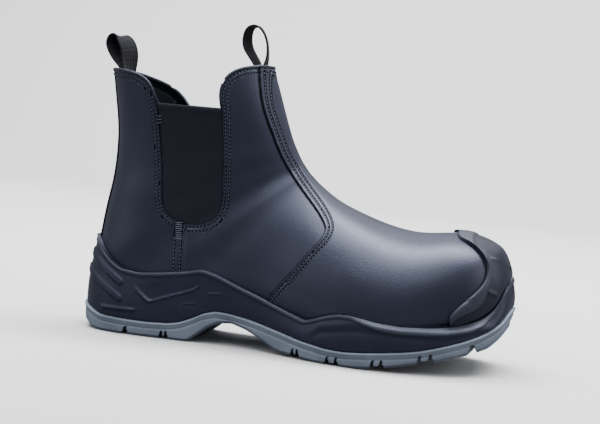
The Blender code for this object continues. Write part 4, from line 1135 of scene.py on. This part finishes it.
def makeGore(name, side):
    # Elastic drawn in side view, cut to its outline, and laid just inside the leather
    outline = goreOutline(-gorePlan["reach"])
    top = goreTop * shaftHeight
    low = outline[:, 1].min() - gorePlan["margin"]
    ends = outline[:, 0].min() - gorePlan["margin"], outline[:, 0].max() + gorePlan["margin"]
    x = np.linspace(*ends, gorePlan["columns"])
    z = np.linspace(low, top, gorePlan["rows"])
    flat = np.stack(np.meshgrid(x, z), axis=-1)
    points, normals = onSide(flat.reshape(-1, 2), side)
    ribs = np.cos(points[:, 0] * 2 * math.pi / gorePlan["ribPitch"]) * gorePlan["ribDepth"]
    hemmed = softStep(points[:, 2], top - gorePlan["hem"], top - gorePlan["hem"] + gorePlan["hemSoft"])
    bulge = gorePlan["bulge"] * np.sin(np.clip((points[:, 2] - low) / (top - low), 0, 1) * math.pi)
    ribs = ribs * (1 - gorePlan["hemFlat"] * hemmed)
    sunk = -stepHeight - goreSink + ribs + hemmed * gorePlan["hemRise"] + bulge
    laid = points + normals * sunk[:, None]
    body = gridBody(laid.reshape(len(z), len(x), 3))
    cutAwaySide(body, outline)
    clothMap(body, lambda vert: (vert.co.x, vert.co.z))
    gore = finish(body, name, elastic, sharp=180, outward=False)
    wall = gore.modifiers.new("wall", "SOLIDIFY")
    wall.thickness = goreThickness
    wall.offset = -1 if outwardFacing(gore, side) else 1
    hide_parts("gore_lateral" if side < 0 else "gore_medial")
    return gore


def outwardFacing(piece, side):
    return sum(polygon.normal.y for polygon in piece.data.polygons) * side > 0


def cutAwaySide(body, outline):
    corners = np.array([vert.co[:] for vert in body.verts])
    scoreEdges(body, outlineDistance(corners[:, [0, 2]], outline))
    centres = np.array([face.calc_center_median()[:] for face in body.faces])
    outside = outlineDistance(centres[:, [0, 2]], outline) > 0
    gone = [face for face, out in zip(list(body.faces), outside) if out]
    bmesh.ops.delete(body, geom=gone, context="FACES")


makeGore("goreLateral", -1)
makeGore("goreMedial", 1)
print("gores done")


# Sole

solePlan = dict(
    spacing=0.0009, treadShare=0.8, floor=0.0016, wallRows=46, across=84, ridgeSoft=0.0008,
    insetRange=(-0.006, 0.007), insetPower=1.6, footTall=0.0010, footDeep=0.0005,
)
# The bead along the midsole's top, in bead heights, and its growth at the fore lip; its last value is the
# painted highlight along the bead's lit top
beadPlan = dict(
    full=0.72, start=1.18, roundTall=0.68, roundDeep=0.62, roundPower=2.2, foreTall=0.80, foreOut=0.9,
    foreStart=(0.66, 0.74), foreEnd=(0.90, 0.97), paintedHighlight=0.25,
)
# The heel's blade and the fore lip: how deep or proud each is, where its swells lie and how wide
bladePlan = dict(
    sink=0.45, shallow=0.15, edge=(-0.0007, 0.0001), ridge=0.0009, ridgeAt=0.0004, ridgeWide=0.0008,
)
foreLipPlan = dict(
    start=(0.565, 0.600), end=(0.955, 0.975), rise=0.0009, riseAt=0.0038, riseWide=0.0030, dip=0.0004,
    dipAt=0.0088, dipWide=0.0020,
)


def soleLoop(spacing):
    shares = np.array([row.along for row in outlineRows])
    angle = np.arccos(1 - 2 * shares) / math.pi
    fine = np.linspace(0, 1, 4001)
    x = along((1 - np.cos(fine * math.pi)) / 2)
    lateral = curveThrough(angle, [row.lateral for row in outlineRows], fine) * ballWidth
    medial = curveThrough(angle, [row.medial for row in outlineRows], fine) * ballWidth
    run = pathRun(np.stack([x, (lateral + medial) / 2], axis=1))
    even = np.interp(np.linspace(0, run[-1], round(run[-1] / spacing)), run, x)
    near = np.stack([even, -np.interp(even, x, lateral)], axis=1)
    far = np.stack([even, np.interp(even, x, medial)], axis=1)
    loop = np.concatenate([near, far[1:-1][::-1]])
    tangent = np.roll(loop, -2, axis=0) - np.roll(loop, 2, axis=0)
    outward = np.stack([tangent[:, 1], -tangent[:, 0]], axis=1)
    return loop, outward / np.linalg.norm(outward, axis=1, keepdims=True)


def blurLoop(values, times):
    for _ in range(times):
        values = (np.roll(values, 1) + 2 * values + np.roll(values, -1)) / 4
    return values


def lipInset(loop, outward):
    inset = np.zeros(len(loop))
    for _ in range(3):
        high = softHeight(midsoleTop, (loop - outward * inset[:, None])[:, 0])
        for i, (point, way) in enumerate(zip(loop, outward)):
            origin = Vector((*(point + way * searchReach), high[i]))
            distance = skinTree.ray_cast(origin, Vector((-way[0], -way[1], 0.0)), 2 * searchReach)[3]
            if distance is not None:
                inset[i] = distance - searchReach - midsoleLip
        inset = blurLoop(np.clip(inset, *solePlan["insetRange"]), 12)
    return inset


Bar = namedtuple("Bar", "along up endAlong endUp width rise")
soleBars = (
    Bar(-0.010, 0.300, 0.110, 0.185, 0.0052, 0.0011),
    Bar(-0.010, 0.236, 0.112, 0.127, 0.0052, 0.0011),
    Bar(0.070, 0.088, 0.150, 0.091, 0.0030, 0.0010),
    Bar(0.152, 0.168, 0.186, 0.130, 0.0022, 0.0007),
    Bar(0.268, 0.134, 0.292, 0.137, 0.0018, 0.0006),
    Bar(0.325, 0.180, 0.356, 0.185, 0.0018, 0.0006),
)
foreLip = tableOf(
    SidePoint,
    (0.560, 0.105), (0.600, 0.150), (0.680, 0.172), (0.776, 0.168), (0.870, 0.166), (0.930, 0.190),
)
bladeOutline = np.stack(sideLine(panelBlade), axis=1)
bladeTopLine = sideLine(panelBlade[1:5])
bladeLowLine = sideLine([*panelBlade[:4:-1], panelBlade[4]])


def swell(value, middle, width):
    return np.exp(-(((value - middle) / width) ** 2))


def between(x, start, end):
    # Nought to one over the start's shares of the sole's length, and back over the end's
    rising = softStep(x, along(start[0]), along(start[1]))
    return rising * (1 - softStep(x, along(end[0]), along(end[1])))


def barRise(points, bar):
    start = (along(bar.along), bar.up * shaftHeight)
    end = (along(bar.endAlong), bar.endUp * shaftHeight)
    _, apart, _ = offsetFrom(points, start, end)
    return bar.rise * (1 - softStep(apart, bar.width / 2 - solePlan["ridgeSoft"], bar.width / 2))


def wallDetail(points):
    # Bars, blade and fore lip that stand out of or into the midsole's side
    flat = points[:, [0, 2]]
    rise = np.zeros(len(points))
    for bar in soleBars:
        rise = np.maximum(rise, barRise(flat, bar))
    blade = outlineDistance(flat, bladeOutline)
    bladeTop = np.interp(points[:, 0], *bladeTopLine)
    bladeLow = np.interp(points[:, 0], *bladeLowLine)
    shallow = bladePlan["shallow"]
    down = np.clip((bladeTop - points[:, 2]) / np.maximum(bladeTop - bladeLow, 0.001), 0, 1)
    deep = shallow + (1 - shallow) * down
    rise -= panelDepth * bladePlan["sink"] * deep * (1 - softStep(blade, *bladePlan["edge"]))
    rise += bladePlan["ridge"] * (deep - shallow) * swell(blade, bladePlan["ridgeAt"], bladePlan["ridgeWide"])
    under = heightAt(foreLip, points[:, 0]) - points[:, 2]
    onFore = between(points[:, 0], foreLipPlan["start"], foreLipPlan["end"])
    rise += onFore * foreLipPlan["rise"] * swell(under, foreLipPlan["riseAt"], foreLipPlan["riseWide"])
    rise -= onFore * foreLipPlan["dip"] * swell(under, foreLipPlan["dipAt"], foreLipPlan["dipWide"])
    return rise


def makeMidsole():
    loop, outward = soleLoop(solePlan["spacing"])
    inset = lipInset(loop, outward)
    low = softHeight(outsoleTop, loop[:, 0]) + fitGap
    high = softHeight(midsoleTop, (loop - outward * inset[:, None])[:, 0])
    share = np.linspace(0, 1, solePlan["wallRows"])
    tall = (high - low)[None, :]
    fromTop = tall * (1 - share[:, None])
    ledges = [soleLedge, soleLedge - 0.0006, beadProud * 0.6, beadProud]
    ledge = curveThrough([0, 0.30, 0.66, 1.0], ledges, share)
    back = inset[None, :] * share[:, None] ** solePlan["insetPower"] + ledge[:, None]
    lipX = (loop - outward * inset[:, None])[:, 0]
    broad = between(lipX, beadPlan["foreStart"], beadPlan["foreEnd"])
    beadTall = beadHeight * (1 + beadPlan["foreTall"] * broad)
    beadOut = beadProud * (1 + beadPlan["foreOut"] * broad)
    bead = 1 - softStep(fromTop, beadTall * beadPlan["full"], beadTall * beadPlan["start"])
    back = back - bead * beadOut
    edge = np.clip(1 - fromTop / (beadTall * beadPlan["roundTall"]), 0, 1)
    back = back + beadTall * beadPlan["roundDeep"] * (1 - np.sqrt(1 - edge ** beadPlan["roundPower"]))
    foot = np.clip(1 - (tall - fromTop) / solePlan["footTall"], 0, 1)
    back = back + solePlan["footDeep"] * (1 - np.sqrt(1 - foot**2))
    plan = loop[None] - outward[None] * back[..., None]
    height = low[None] + tall * share[:, None]
    wall = np.concatenate([plan, height[..., None]], axis=2)
    detail = wallDetail(wall.reshape(-1, 3)).reshape(wall.shape[:2])
    fade = softStep(fromTop, 0.0010, 0.0030) * softStep(tall - fromTop, 0.0004, 0.0020)
    wall[..., :2] += outward[None] * (detail * fade)[..., None]
    top = np.column_stack([loop - outward * (inset + midsoleLip)[:, None], high])
    vamp = softStep(vampField(top), -0.001, 0.001)
    strip = softStep(stripField(top), -0.001, 0.001)
    lip = inset + midsoleLip - fitGap + stepHeight * (1 - np.maximum(vamp, strip))
    rings = [*wall]
    for inward, drop in ((lip * 0.6, 0.0), (lip, 0.0002), (lip, 0.003), (lip + 0.001, 0.012)):
        place = loop - outward * inward[:, None]
        bottom = np.maximum(high - drop, low + solePlan["floor"])
        rings.append(np.column_stack([place, bottom]))
    floor = loop - outward * (lip + 0.004)[:, None]
    rings.append(np.column_stack([floor, low + solePlan["floor"]]))
    body = gridBody(np.array(rings), around=True)
    paintedHighlight = np.zeros(len(body.verts))
    # The bead gets a painted highlight on its lit top, broader along the fore lip
    beadHighlight = bead * np.clip(beadPlan["paintedHighlight"] + broad, 0, 1) * (1 - 0.5 * foot)
    paintedHighlight[: beadHighlight.size] = beadHighlight.ravel()
    layer = body.verts.layers.float.new("paintedHighlight")
    for vert, value in zip(body.verts, paintedHighlight):
        vert[layer] = value
    closeAcross(body, [edge for edge in body.edges if edge.is_boundary])
    midsole = finish(body, "mouldedMidsole", foam, sharp=50)
    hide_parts("midsole")
    return midsole


def closeAcross(body, edges):
    # Strips between the two sides of each open ring
    for rim in chains(edges):
        tip = min(range(len(rim)), key=lambda index: rim[index].co.x)
        ring = rim[tip:] + rim[:tip]
        half = len(ring) // 2
        body.faces.new((ring[0], ring[1], ring[-1]))
        for step in range(1, half - 1):
            body.faces.new((ring[step], ring[step + 1], ring[-step - 1], ring[-step]))
        rest = ring[half - 1:len(ring) - half + 2]
        if len(rest) > 2:
            body.faces.new(rest)


# The tread: its gaps with a block left near each outer end, its channels, its edge and its side
treadPlan = dict(
    gapTall=1.15, innerSoft=0.012, block=(0.0031, 0.0024), blockFrom=(0.018, 0.020), blockShare=0.72,
    blockLeast=0.003, channelReach=0.8, channelSoft=0.0012, channelEnd=0.003, roof=0.0025, soft=0.0015,
    edgeInset=0.0006, edgeRound=0.0020, bandDown=0.0042, bandWide=0.0007, bandDeep=0.0005,
    tipDown=0.0012, tipWide=0.0008, tipOut=0.0004,
    topRings=((0.0004, -0.0003), (0.0012, 0.0), (0.0030, 0.0)),
)


def treadDepth(points):
    # How far each gap and channel cuts up into the tread
    depth = np.zeros(len(points))
    x, y = points[:, 0], points[:, 1]
    for gap in lugGaps:
        reach = np.abs(y) / lugGapReach
        middle = along(gap.along) + reach * gap.sweep * soleLength
        half = gap.width * soleLength / 2
        inside = np.clip((half - np.abs(x - middle)) / lugTaper, 0, 1)
        cut = inside * softStep(reach, gap.inner - treadPlan["innerSoft"], gap.inner) if gap.inner else inside
        wide, narrow = treadPlan["block"]
        block = 1 - softStep(np.abs(x - middle), half - wide, half - narrow)
        outer = softStep(reach * lugGapReach, *treadPlan["blockFrom"]) * (half > treadPlan["blockLeast"])
        kept = 1 - treadPlan["blockShare"] * block * outer
        depth = np.maximum(depth, lugDepth * treadPlan["gapTall"] * cut * kept)
    nearEdge = np.interp(x, *sideOfSole(-1))
    farEdge = np.interp(x, *sideOfSole(1))
    for start, end in channelSpans:
        for edge in (nearEdge, farEdge):
            room = channelWidth * treadPlan["channelReach"] - np.abs(y - edge * channelShare)
            inside = np.clip(room / treadPlan["channelSoft"], 0, 1)
            fade = treadPlan["channelEnd"]
            opened = softStep(x, along(start), along(start) + fade)
            closed = softStep(x, along(end) - fade, along(end))
            depth = np.maximum(depth, channelDepth * inside * opened * (1 - closed))
    return depth


def sideOfSole(side):
    xs = np.array([along(row.along) for row in outlineRows])
    column = "lateral" if side < 0 else "medial"
    return xs, np.array([getattr(row, column) for row in outlineRows]) * ballWidth * side


def makeOutsole():
    loop, outward = soleLoop(solePlan["spacing"] * solePlan["treadShare"])
    floor = softHeight(treadLine, loop[:, 0], treadPlan["soft"])
    top = softHeight(outsoleTop, loop[:, 0])
    rounded = np.linspace(math.pi / 2, 0, 6)
    rings = []
    for turn in rounded:
        inset = treadPlan["edgeInset"] + treadPlan["edgeRound"] * math.sin(turn)
        lift = treadPlan["edgeRound"] * (1 - math.cos(math.pi / 2 - turn))
        rings.append(np.column_stack([loop - outward * inset, floor + lift]))
    start = floor + treadPlan["edgeRound"]
    for share in np.linspace(0.1, 1, 22):
        height = start + (top - treadPlan["edgeInset"] - start) * share
        below = top - height
        groove = swell(below, treadPlan["bandDown"], treadPlan["bandWide"]) * treadPlan["bandDeep"]
        tip = swell(below, treadPlan["tipDown"], treadPlan["tipWide"]) * treadPlan["tipOut"]
        inset = treadPlan["edgeInset"] * (1 - share) + groove - tip
        rings.append(np.column_stack([loop - outward * inset[:, None], height]))
    for inset, drop in treadPlan["topRings"]:
        rings.append(np.column_stack([loop - outward * inset, top + drop]))
    rings = np.array(rings)
    cut = treadDepth(rings.reshape(-1, 3)).reshape(rings.shape[:2])
    ceiling = np.minimum(floor[None] + cut, top[None] - treadPlan["roof"])
    raised = np.maximum(rings[..., 2], ceiling)
    rings[..., 2] = np.where(cut > 0, raised, rings[..., 2])
    body = gridBody(rings, around=True)
    layer = body.verts.layers.float.new("seam")
    # Painted shade darkens the tread's gaps and channels, more where they cut deeper
    shaded = np.clip(cut / lugDepth, 0, 1) * (rings[..., 2] <= ceiling + 1e-6)
    for vert, value in zip(body.verts, shaded.ravel()):
        vert[layer] = value
    bottom = rings[0]
    half = len(loop) // 2
    near = bottom[: half + 1]
    far = np.concatenate([bottom[:1], bottom[half:][::-1]])
    span = (1 - np.cos(np.linspace(0, math.pi, solePlan["across"]))) / 2
    sheet = near[None] + span[:, None, None] * (far - near)[None]
    line = softHeight(treadLine, sheet[..., 0], treadPlan["soft"])
    sheet[..., 2] = line + treadDepth(sheet.reshape(-1, 3)).reshape(sheet.shape[:2])
    sheet[0, :, 2] = near[:, 2]
    sheet[-1, :, 2] = far[:, 2]
    tread = gridBody(sheet)
    body = joinBodies([body, tread])
    bmesh.ops.remove_doubles(body, verts=body.verts, dist=1e-6)
    rims = [edge for edge in body.edges if edge.is_boundary]
    high = [edge for edge in rims if edge.verts[0].co.z > heightAt(outsoleTop, edge.verts[0].co.x) - 0.003]
    closeAcross(body, high)
    outsole = finish(body, "treadOutsole", treadRubber, sharp=38)
    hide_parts("outsole")
    return outsole


makeMidsole()
makeOutsole()
print("sole done")


# Toe guard

guardPlan = dict(
    lines=230, rows=70, tickWidth=0.0012, tickUnder=0.0007, innerShare=0.3, highlightReach=2.7, paintedHighlight=0.8,
    smooth=0.35,
)
GuardRow = namedtuple("GuardRow", "reach most spread rise")
guardProfile = (
    GuardRow(0.0, 0.0, 0.0, -1.05),
    GuardRow(0.04, 0.012, 0.0, -0.78),
    GuardRow(0.15, 0.04, 0.0, -0.44),
    GuardRow(0.50, 0.11, 0.0, -0.24),
    GuardRow(1.40, 0.25, 0.0, -0.18),
    GuardRow(2.50, 0.39, 0.0, -0.26),
    GuardRow(3.00, 0.45, 0.0, -0.50),
    GuardRow(3.35, 0.50, 0.02, -0.58),
    GuardRow(3.40, 0.51, 0.35, -0.52),
    GuardRow(3.40, 0.51, 0.62, -0.40),
    GuardRow(3.40, 0.51, 0.84, -0.25),
    GuardRow(3.40, 0.51, 0.97, -0.30),
    GuardRow(3.40, 0.51, 1.0, -0.60),
)
# Low ribs on each side of the guard: shares of the sole's length, ball's width and shaft's height
GuardTick = namedtuple("GuardTick", "along out up endAlong endOut endUp rise")
guardTicks = (
    GuardTick(0.951, 0.198, 0.3995, 0.983, 0.000, 0.363, 0.0013),
    GuardTick(0.949, 0.278, 0.2923, 0.963, 0.226, 0.2795, 0.0009),
)


def tickRise(points):
    # Each rib has a soft upper side and a crisp lower one
    rise = np.zeros(len(points))
    folded = points * (1, 0, 1) + np.abs(points) * (0, 1, 0)
    for tick in guardTicks:
        start = (along(tick.along), tick.out * ballWidth, tick.up * shaftHeight)
        end = (along(tick.endAlong), tick.endOut * ballWidth, tick.endUp * shaftHeight)
        offset, apart, _ = offsetFrom(folded, start, end)
        width = np.where(offset[:, 2] > 0, guardPlan["tickWidth"], guardPlan["tickUnder"])
        rise = np.maximum(rise, tick.rise * np.exp(-((apart / width) ** 2)))
    return rise


def makeGuard():
    rim = smoothLine(bumperRim, 70)
    rimPlaces = [placeOnLast(x, z) for x, z in rim]
    baseX = np.linspace(rim[-1, 0] + guardEnd, along(guardTip), 70)
    baseZ = softHeight(midsoleTop, baseX + guardLean) + guardGroove
    basePlaces = [placeOnLast(x, z) for x, z in zip(baseX, baseZ)]
    basePlaces.append((basePlaces[-1][0], 0.0))
    rimPlaces = [(rimPlaces[0][0], 0.0), *rimPlaces]
    mirror = np.array([1, -1])
    shares = np.linspace(0, 1, guardPlan["lines"])
    rimPath = evenPlaces([*rimPlaces[::-1], *(np.array(rimPlaces[1:]) * mirror)], shares)
    basePath = evenPlaces([*basePlaces, *(np.array(basePlaces[::-1][1:]) * mirror)], shares)
    start = onLast(rimPath)
    length = np.linalg.norm(onLast(basePath) - start, axis=1)
    knots = np.arange(len(guardProfile))
    wanted = np.linspace(0, knots[-1], guardPlan["rows"])
    column = {name: np.interp(wanted, knots, [getattr(row, name) for row in guardProfile])
              for name in GuardRow._fields}
    rise = curveThrough(knots, [row.rise for row in guardProfile], wanted)
    outer = []
    inner = []
    for step in range(guardPlan["rows"]):
        share = np.minimum(column["reach"][step] * bumperRimRadius / length, column["most"][step])
        share = share + (1 - share) * column["spread"][step]
        place = rimPath + share[:, None] * (basePath - rimPath)
        lift = bumperThickness + rise[step] * bumperRimRadius
        lift = lift + tickRise(skinPoints(place[:, 0], place[:, 1], np.full(len(shares), lift + guardBed)))
        outer.append(skinPoints(place[:, 0], place[:, 1], lift + guardBed))
        under = np.full(len(shares), guardBed * guardPlan["innerShare"])
        inner.append(skinPoints(place[:, 0], place[:, 1], under))
    outer = np.array(outer)
    inner = np.array(inner)
    # The rim's band up to the given reach gets a painted highlight on its lit crest
    scuffAndHighlight = np.repeat((column["reach"] < guardPlan["highlightReach"]) * guardPlan["paintedHighlight"], len(shares))
    shell = gridBody(outer)
    layer = shell.verts.layers.float.new("paintedHighlight")
    for vert, value in zip(shell.verts, scuffAndHighlight):
        vert[layer] = value
    body = joinBodies([shell, gridBody(inner)])
    for end in (0, -1):
        body = joinBodies([body, gridBody(np.array((outer[end], inner[end])))])
    for end in (0, -1):
        body = joinBodies([body, gridBody(np.array((outer[:, end], inner[:, end])))])
    bmesh.ops.remove_doubles(body, verts=body.verts, dist=1e-6)
    axes = dict(use_axis_x=True, use_axis_y=True, use_axis_z=True)
    bmesh.ops.smooth_vert(body, verts=list(body.verts), factor=guardPlan["smooth"], **axes)
    guard = finish(body, "toeGuard", guardRubber, sharp=50)
    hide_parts("toe_bumper")
    return guard


makeGuard()
print("toe guard done")


# Pull loops

loopPlan = dict(rows=150, sides=28, squareness=0.35, flatness=0.7, edgeFrom=0.42, edgeRise=0.25)


def rounded(values, power):
    return np.sign(values) * np.abs(values) ** power


def makeLoop(name, rows, node):
    knots = np.arange(len(rows))
    wanted = np.linspace(0, len(rows) - 1, loopPlan["rows"])
    x = curveThrough(knots, [along(row.along) for row in rows], wanted)
    z = curveThrough(knots, [row.up * shaftHeight for row in rows], wanted)
    turn = np.radians(curveThrough(knots, [row.turn for row in rows], wanted))
    points = np.stack([x, np.zeros_like(x), z], axis=1)
    way = np.gradient(points, axis=0)
    way /= np.linalg.norm(way, axis=1, keepdims=True)
    level = np.stack([np.sin(turn), np.cos(turn), np.zeros_like(turn)], axis=1)
    width = level - way * np.sum(level * way, axis=1, keepdims=True)
    width /= np.linalg.norm(width, axis=1, keepdims=True)
    face = np.cross(way, width)
    turns = np.arange(loopPlan["sides"]) * 2 * math.pi / loopPlan["sides"]
    across = rounded(np.cos(turns), loopPlan["squareness"]) * webbingWidth / 2
    thick = rounded(np.sin(turns), loopPlan["flatness"]) * webbingThickness / 2
    thick = thick * (1 + loopPlan["edgeRise"] * (np.abs(across) > webbingWidth * loopPlan["edgeFrom"]))
    grid = points[:, None] + width[:, None] * across[None, :, None] + face[:, None] * thick[None, :, None]
    body = gridBody(grid, around=True, capped=True)
    run = pathRun(points)
    marks = [(Vector(points[i]), run[i], Vector(width[i])) for i in range(0, len(points), 3)]

    def size(vert):
        point, length, side = min(marks, key=lambda mark: (mark[0] - vert.co).length_squared)
        return ((vert.co - point).dot(side), length)

    clothMap(body, size)
    loop = finish(body, name, webbing, sharp=60)
    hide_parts(node)
    return loop


makeLoop("backLoop", backLoop, "pull_loop_back")
makeLoop("frontLoop", frontLoop, "pull_loop_front")
print("pull loops done")


# Footbed

footbedPlan = dict(
    start=-0.0305, end=0.2615, rows=120, columns=50, drop=0.0004, apart=0.0022, least=0.008, rim=0.0022,
    thickness=0.0018,
)


def makeFootbed():
    # The board's top, edge and underside inside the upper
    x = np.linspace(footbedPlan["start"], footbedPlan["end"], footbedPlan["rows"])
    columns = footbedPlan["columns"]
    rows = []
    for place in x:
        height = heightAt(footbedLine, place) - footbedPlan["drop"]
        ends = []
        for side in (-1, 1):
            hit = skinTree.ray_cast(Vector((place, side * 0.2, height)), Vector((0, -side, 0)))[0]
            ends.append(hit.y - side * footbedPlan["apart"] if hit is not None else None)
        if None in ends or ends[1] - ends[0] < footbedPlan["least"]:
            continue
        y = ends[0] + (ends[1] - ends[0]) * (1 - np.cos(np.linspace(0, math.pi, columns))) / 2
        rim = np.abs(2 * (y - ends[0]) / (ends[1] - ends[0]) - 1)
        rows.append(np.stack([np.full(columns, place), y, height + footbedPlan["rim"] * rim**4], axis=1))
    body = gridBody(np.array(rows))
    clothMap(body, lambda vert: (vert.co.x, vert.co.y))
    footbed = finish(body, "footbed", weaveSurface("footbedCloth", liningLook), sharp=60, outward=False)
    board = footbed.modifiers.new("board", "SOLIDIFY")
    board.thickness = footbedPlan["thickness"]
    up = sum(polygon.normal.z for polygon in footbed.data.polygons) > 0
    board.offset = -1 if up else 1
    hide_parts("insole")
    return footbed


makeFootbed()
print("footbed done")


# Room, light and camera

roomPlan = dict(
    front=-1.6, wall=1.6, high=3.0, bend=0.9, half=3.2, seen=(0.86, 0.86, 0.86), bounceShade=(0.12, 0.12, 0.13),
)


def makeRoom():
    # A floor that bends up into a wall behind the boot: pale to the camera, but dark to every other ray, a
    # dark sheet that paints shade on the boot's lower side in place of the floor's bounce and reflection
    turns = np.linspace(0, math.pi / 2, 24)
    bendY = roomPlan["wall"] + roomPlan["bend"] * np.sin(turns)
    bendZ = roomPlan["bend"] * (1 - np.cos(turns))
    profile = [(roomPlan["front"], 0.0), (0.0, 0.0), *zip(bendY, bendZ), (bendY[-1], roomPlan["high"])]
    lines = [[(side * roomPlan["half"], y, z) for y, z in profile] for side in (-1, 1)]
    body = gridBody(np.array(lines))
    surface, tree, shader = newTree("paleFloor")
    setInputs(shader, Roughness=0.9, Specular_IOR_Level=0.1)
    rays = addNode(tree, "ShaderNodeLightPath")
    pale = colourMix(tree, rays.outputs["Is Camera Ray"], roomPlan["bounceShade"], roomPlan["seen"])
    tree.links.new(pale, shader.inputs["Base Color"])
    mesh = bpy.data.meshes.new("room")
    body.to_mesh(mesh)
    body.free()
    mesh.shade_smooth()
    room = bpy.data.objects.new("room", mesh)
    mesh.materials.append(surface)
    bpy.context.scene.collection.objects.link(room)
    return room


def addLight(name, place, aim, size, power, colour=(1.0, 1.0, 1.0)):
    light = bpy.data.lights.new(name, "AREA")
    light.shape = "RECTANGLE"
    light.size, light.size_y = size
    light.energy = power
    light.color = colour
    lamp = bpy.data.objects.new(name, light)
    lamp.location = place
    lamp.rotation_euler = (Vector(aim) - Vector(place)).to_track_quat("-Z", "Y").to_euler()
    bpy.context.scene.collection.objects.link(lamp)
    return lamp


makeRoom()
middle = (0.11, 0.0, 0.08)
addLight("overhead", (0.12, -0.02, 1.15), middle, (1.3, 0.9), 18.0, (0.97, 0.98, 1.0))
addLight("backTop", (0.10, 1.25, 1.00), middle, (1.8, 0.6), 3.5)
addLight("frontKey", (0.30, -1.10, 1.25), middle, (0.9, 0.6), 4.0, (1.0, 0.99, 0.97))
addLight("leftFill", (-1.1, -0.7, 0.60), middle, (0.8, 0.8), 3.0, (0.96, 0.98, 1.0))
addLight("toeSide", (1.3, 0.1, 0.5), middle, (0.6, 0.8), 2.5)
addLight("backdrop", (0.10, 0.60, 2.10), (0.10, 2.2, 0.30), (3.2, 1.0), 150.0)

world = bpy.data.worlds.new("paleWorld")
world.use_nodes = True
world.node_tree.nodes["Background"].inputs["Color"].default_value = (0.86, 0.88, 0.92, 1.0)
world.node_tree.nodes["Background"].inputs["Strength"].default_value = 0.42
bpy.context.scene.world = world

# The camera stands at the photo's angle: its turn, distance, height, roll and focal length in
# pixels of the photo's width
cameraPlan = dict(
    turn=12.5, distance=1.050, height=0.167, roll=5.0, focal=1498.6, aim=(0.113, 0.0, 0.095), width=600,
)


def makeCamera():
    turn = math.radians(cameraPlan["turn"])
    roll = math.radians(cameraPlan["roll"])
    aim = Vector(cameraPlan["aim"])
    place = aim + Vector((math.sin(turn), -math.cos(turn), 0)) * cameraPlan["distance"]
    place.z = cameraPlan["height"]
    ahead = (aim - place).normalized()
    right = ahead.cross(Vector((0, 0, 1))).normalized()
    up = right.cross(ahead)
    rolledRight = right * math.cos(roll) + up * math.sin(roll)
    rolledUp = up * math.cos(roll) - right * math.sin(roll)
    lens = bpy.data.cameras.new("photoCamera")
    lens.sensor_width = 36.0
    lens.lens = cameraPlan["focal"] / cameraPlan["width"] * lens.sensor_width
    camera = bpy.data.objects.new("photoCamera", lens)
    turned = Matrix((rolledRight, rolledUp, -ahead)).transposed().to_4x4()
    turned.translation = place
    camera.matrix_world = turned
    bpy.context.scene.collection.objects.link(camera)
    bpy.context.scene.camera = camera


makeCamera()

print("room, light and camera done")
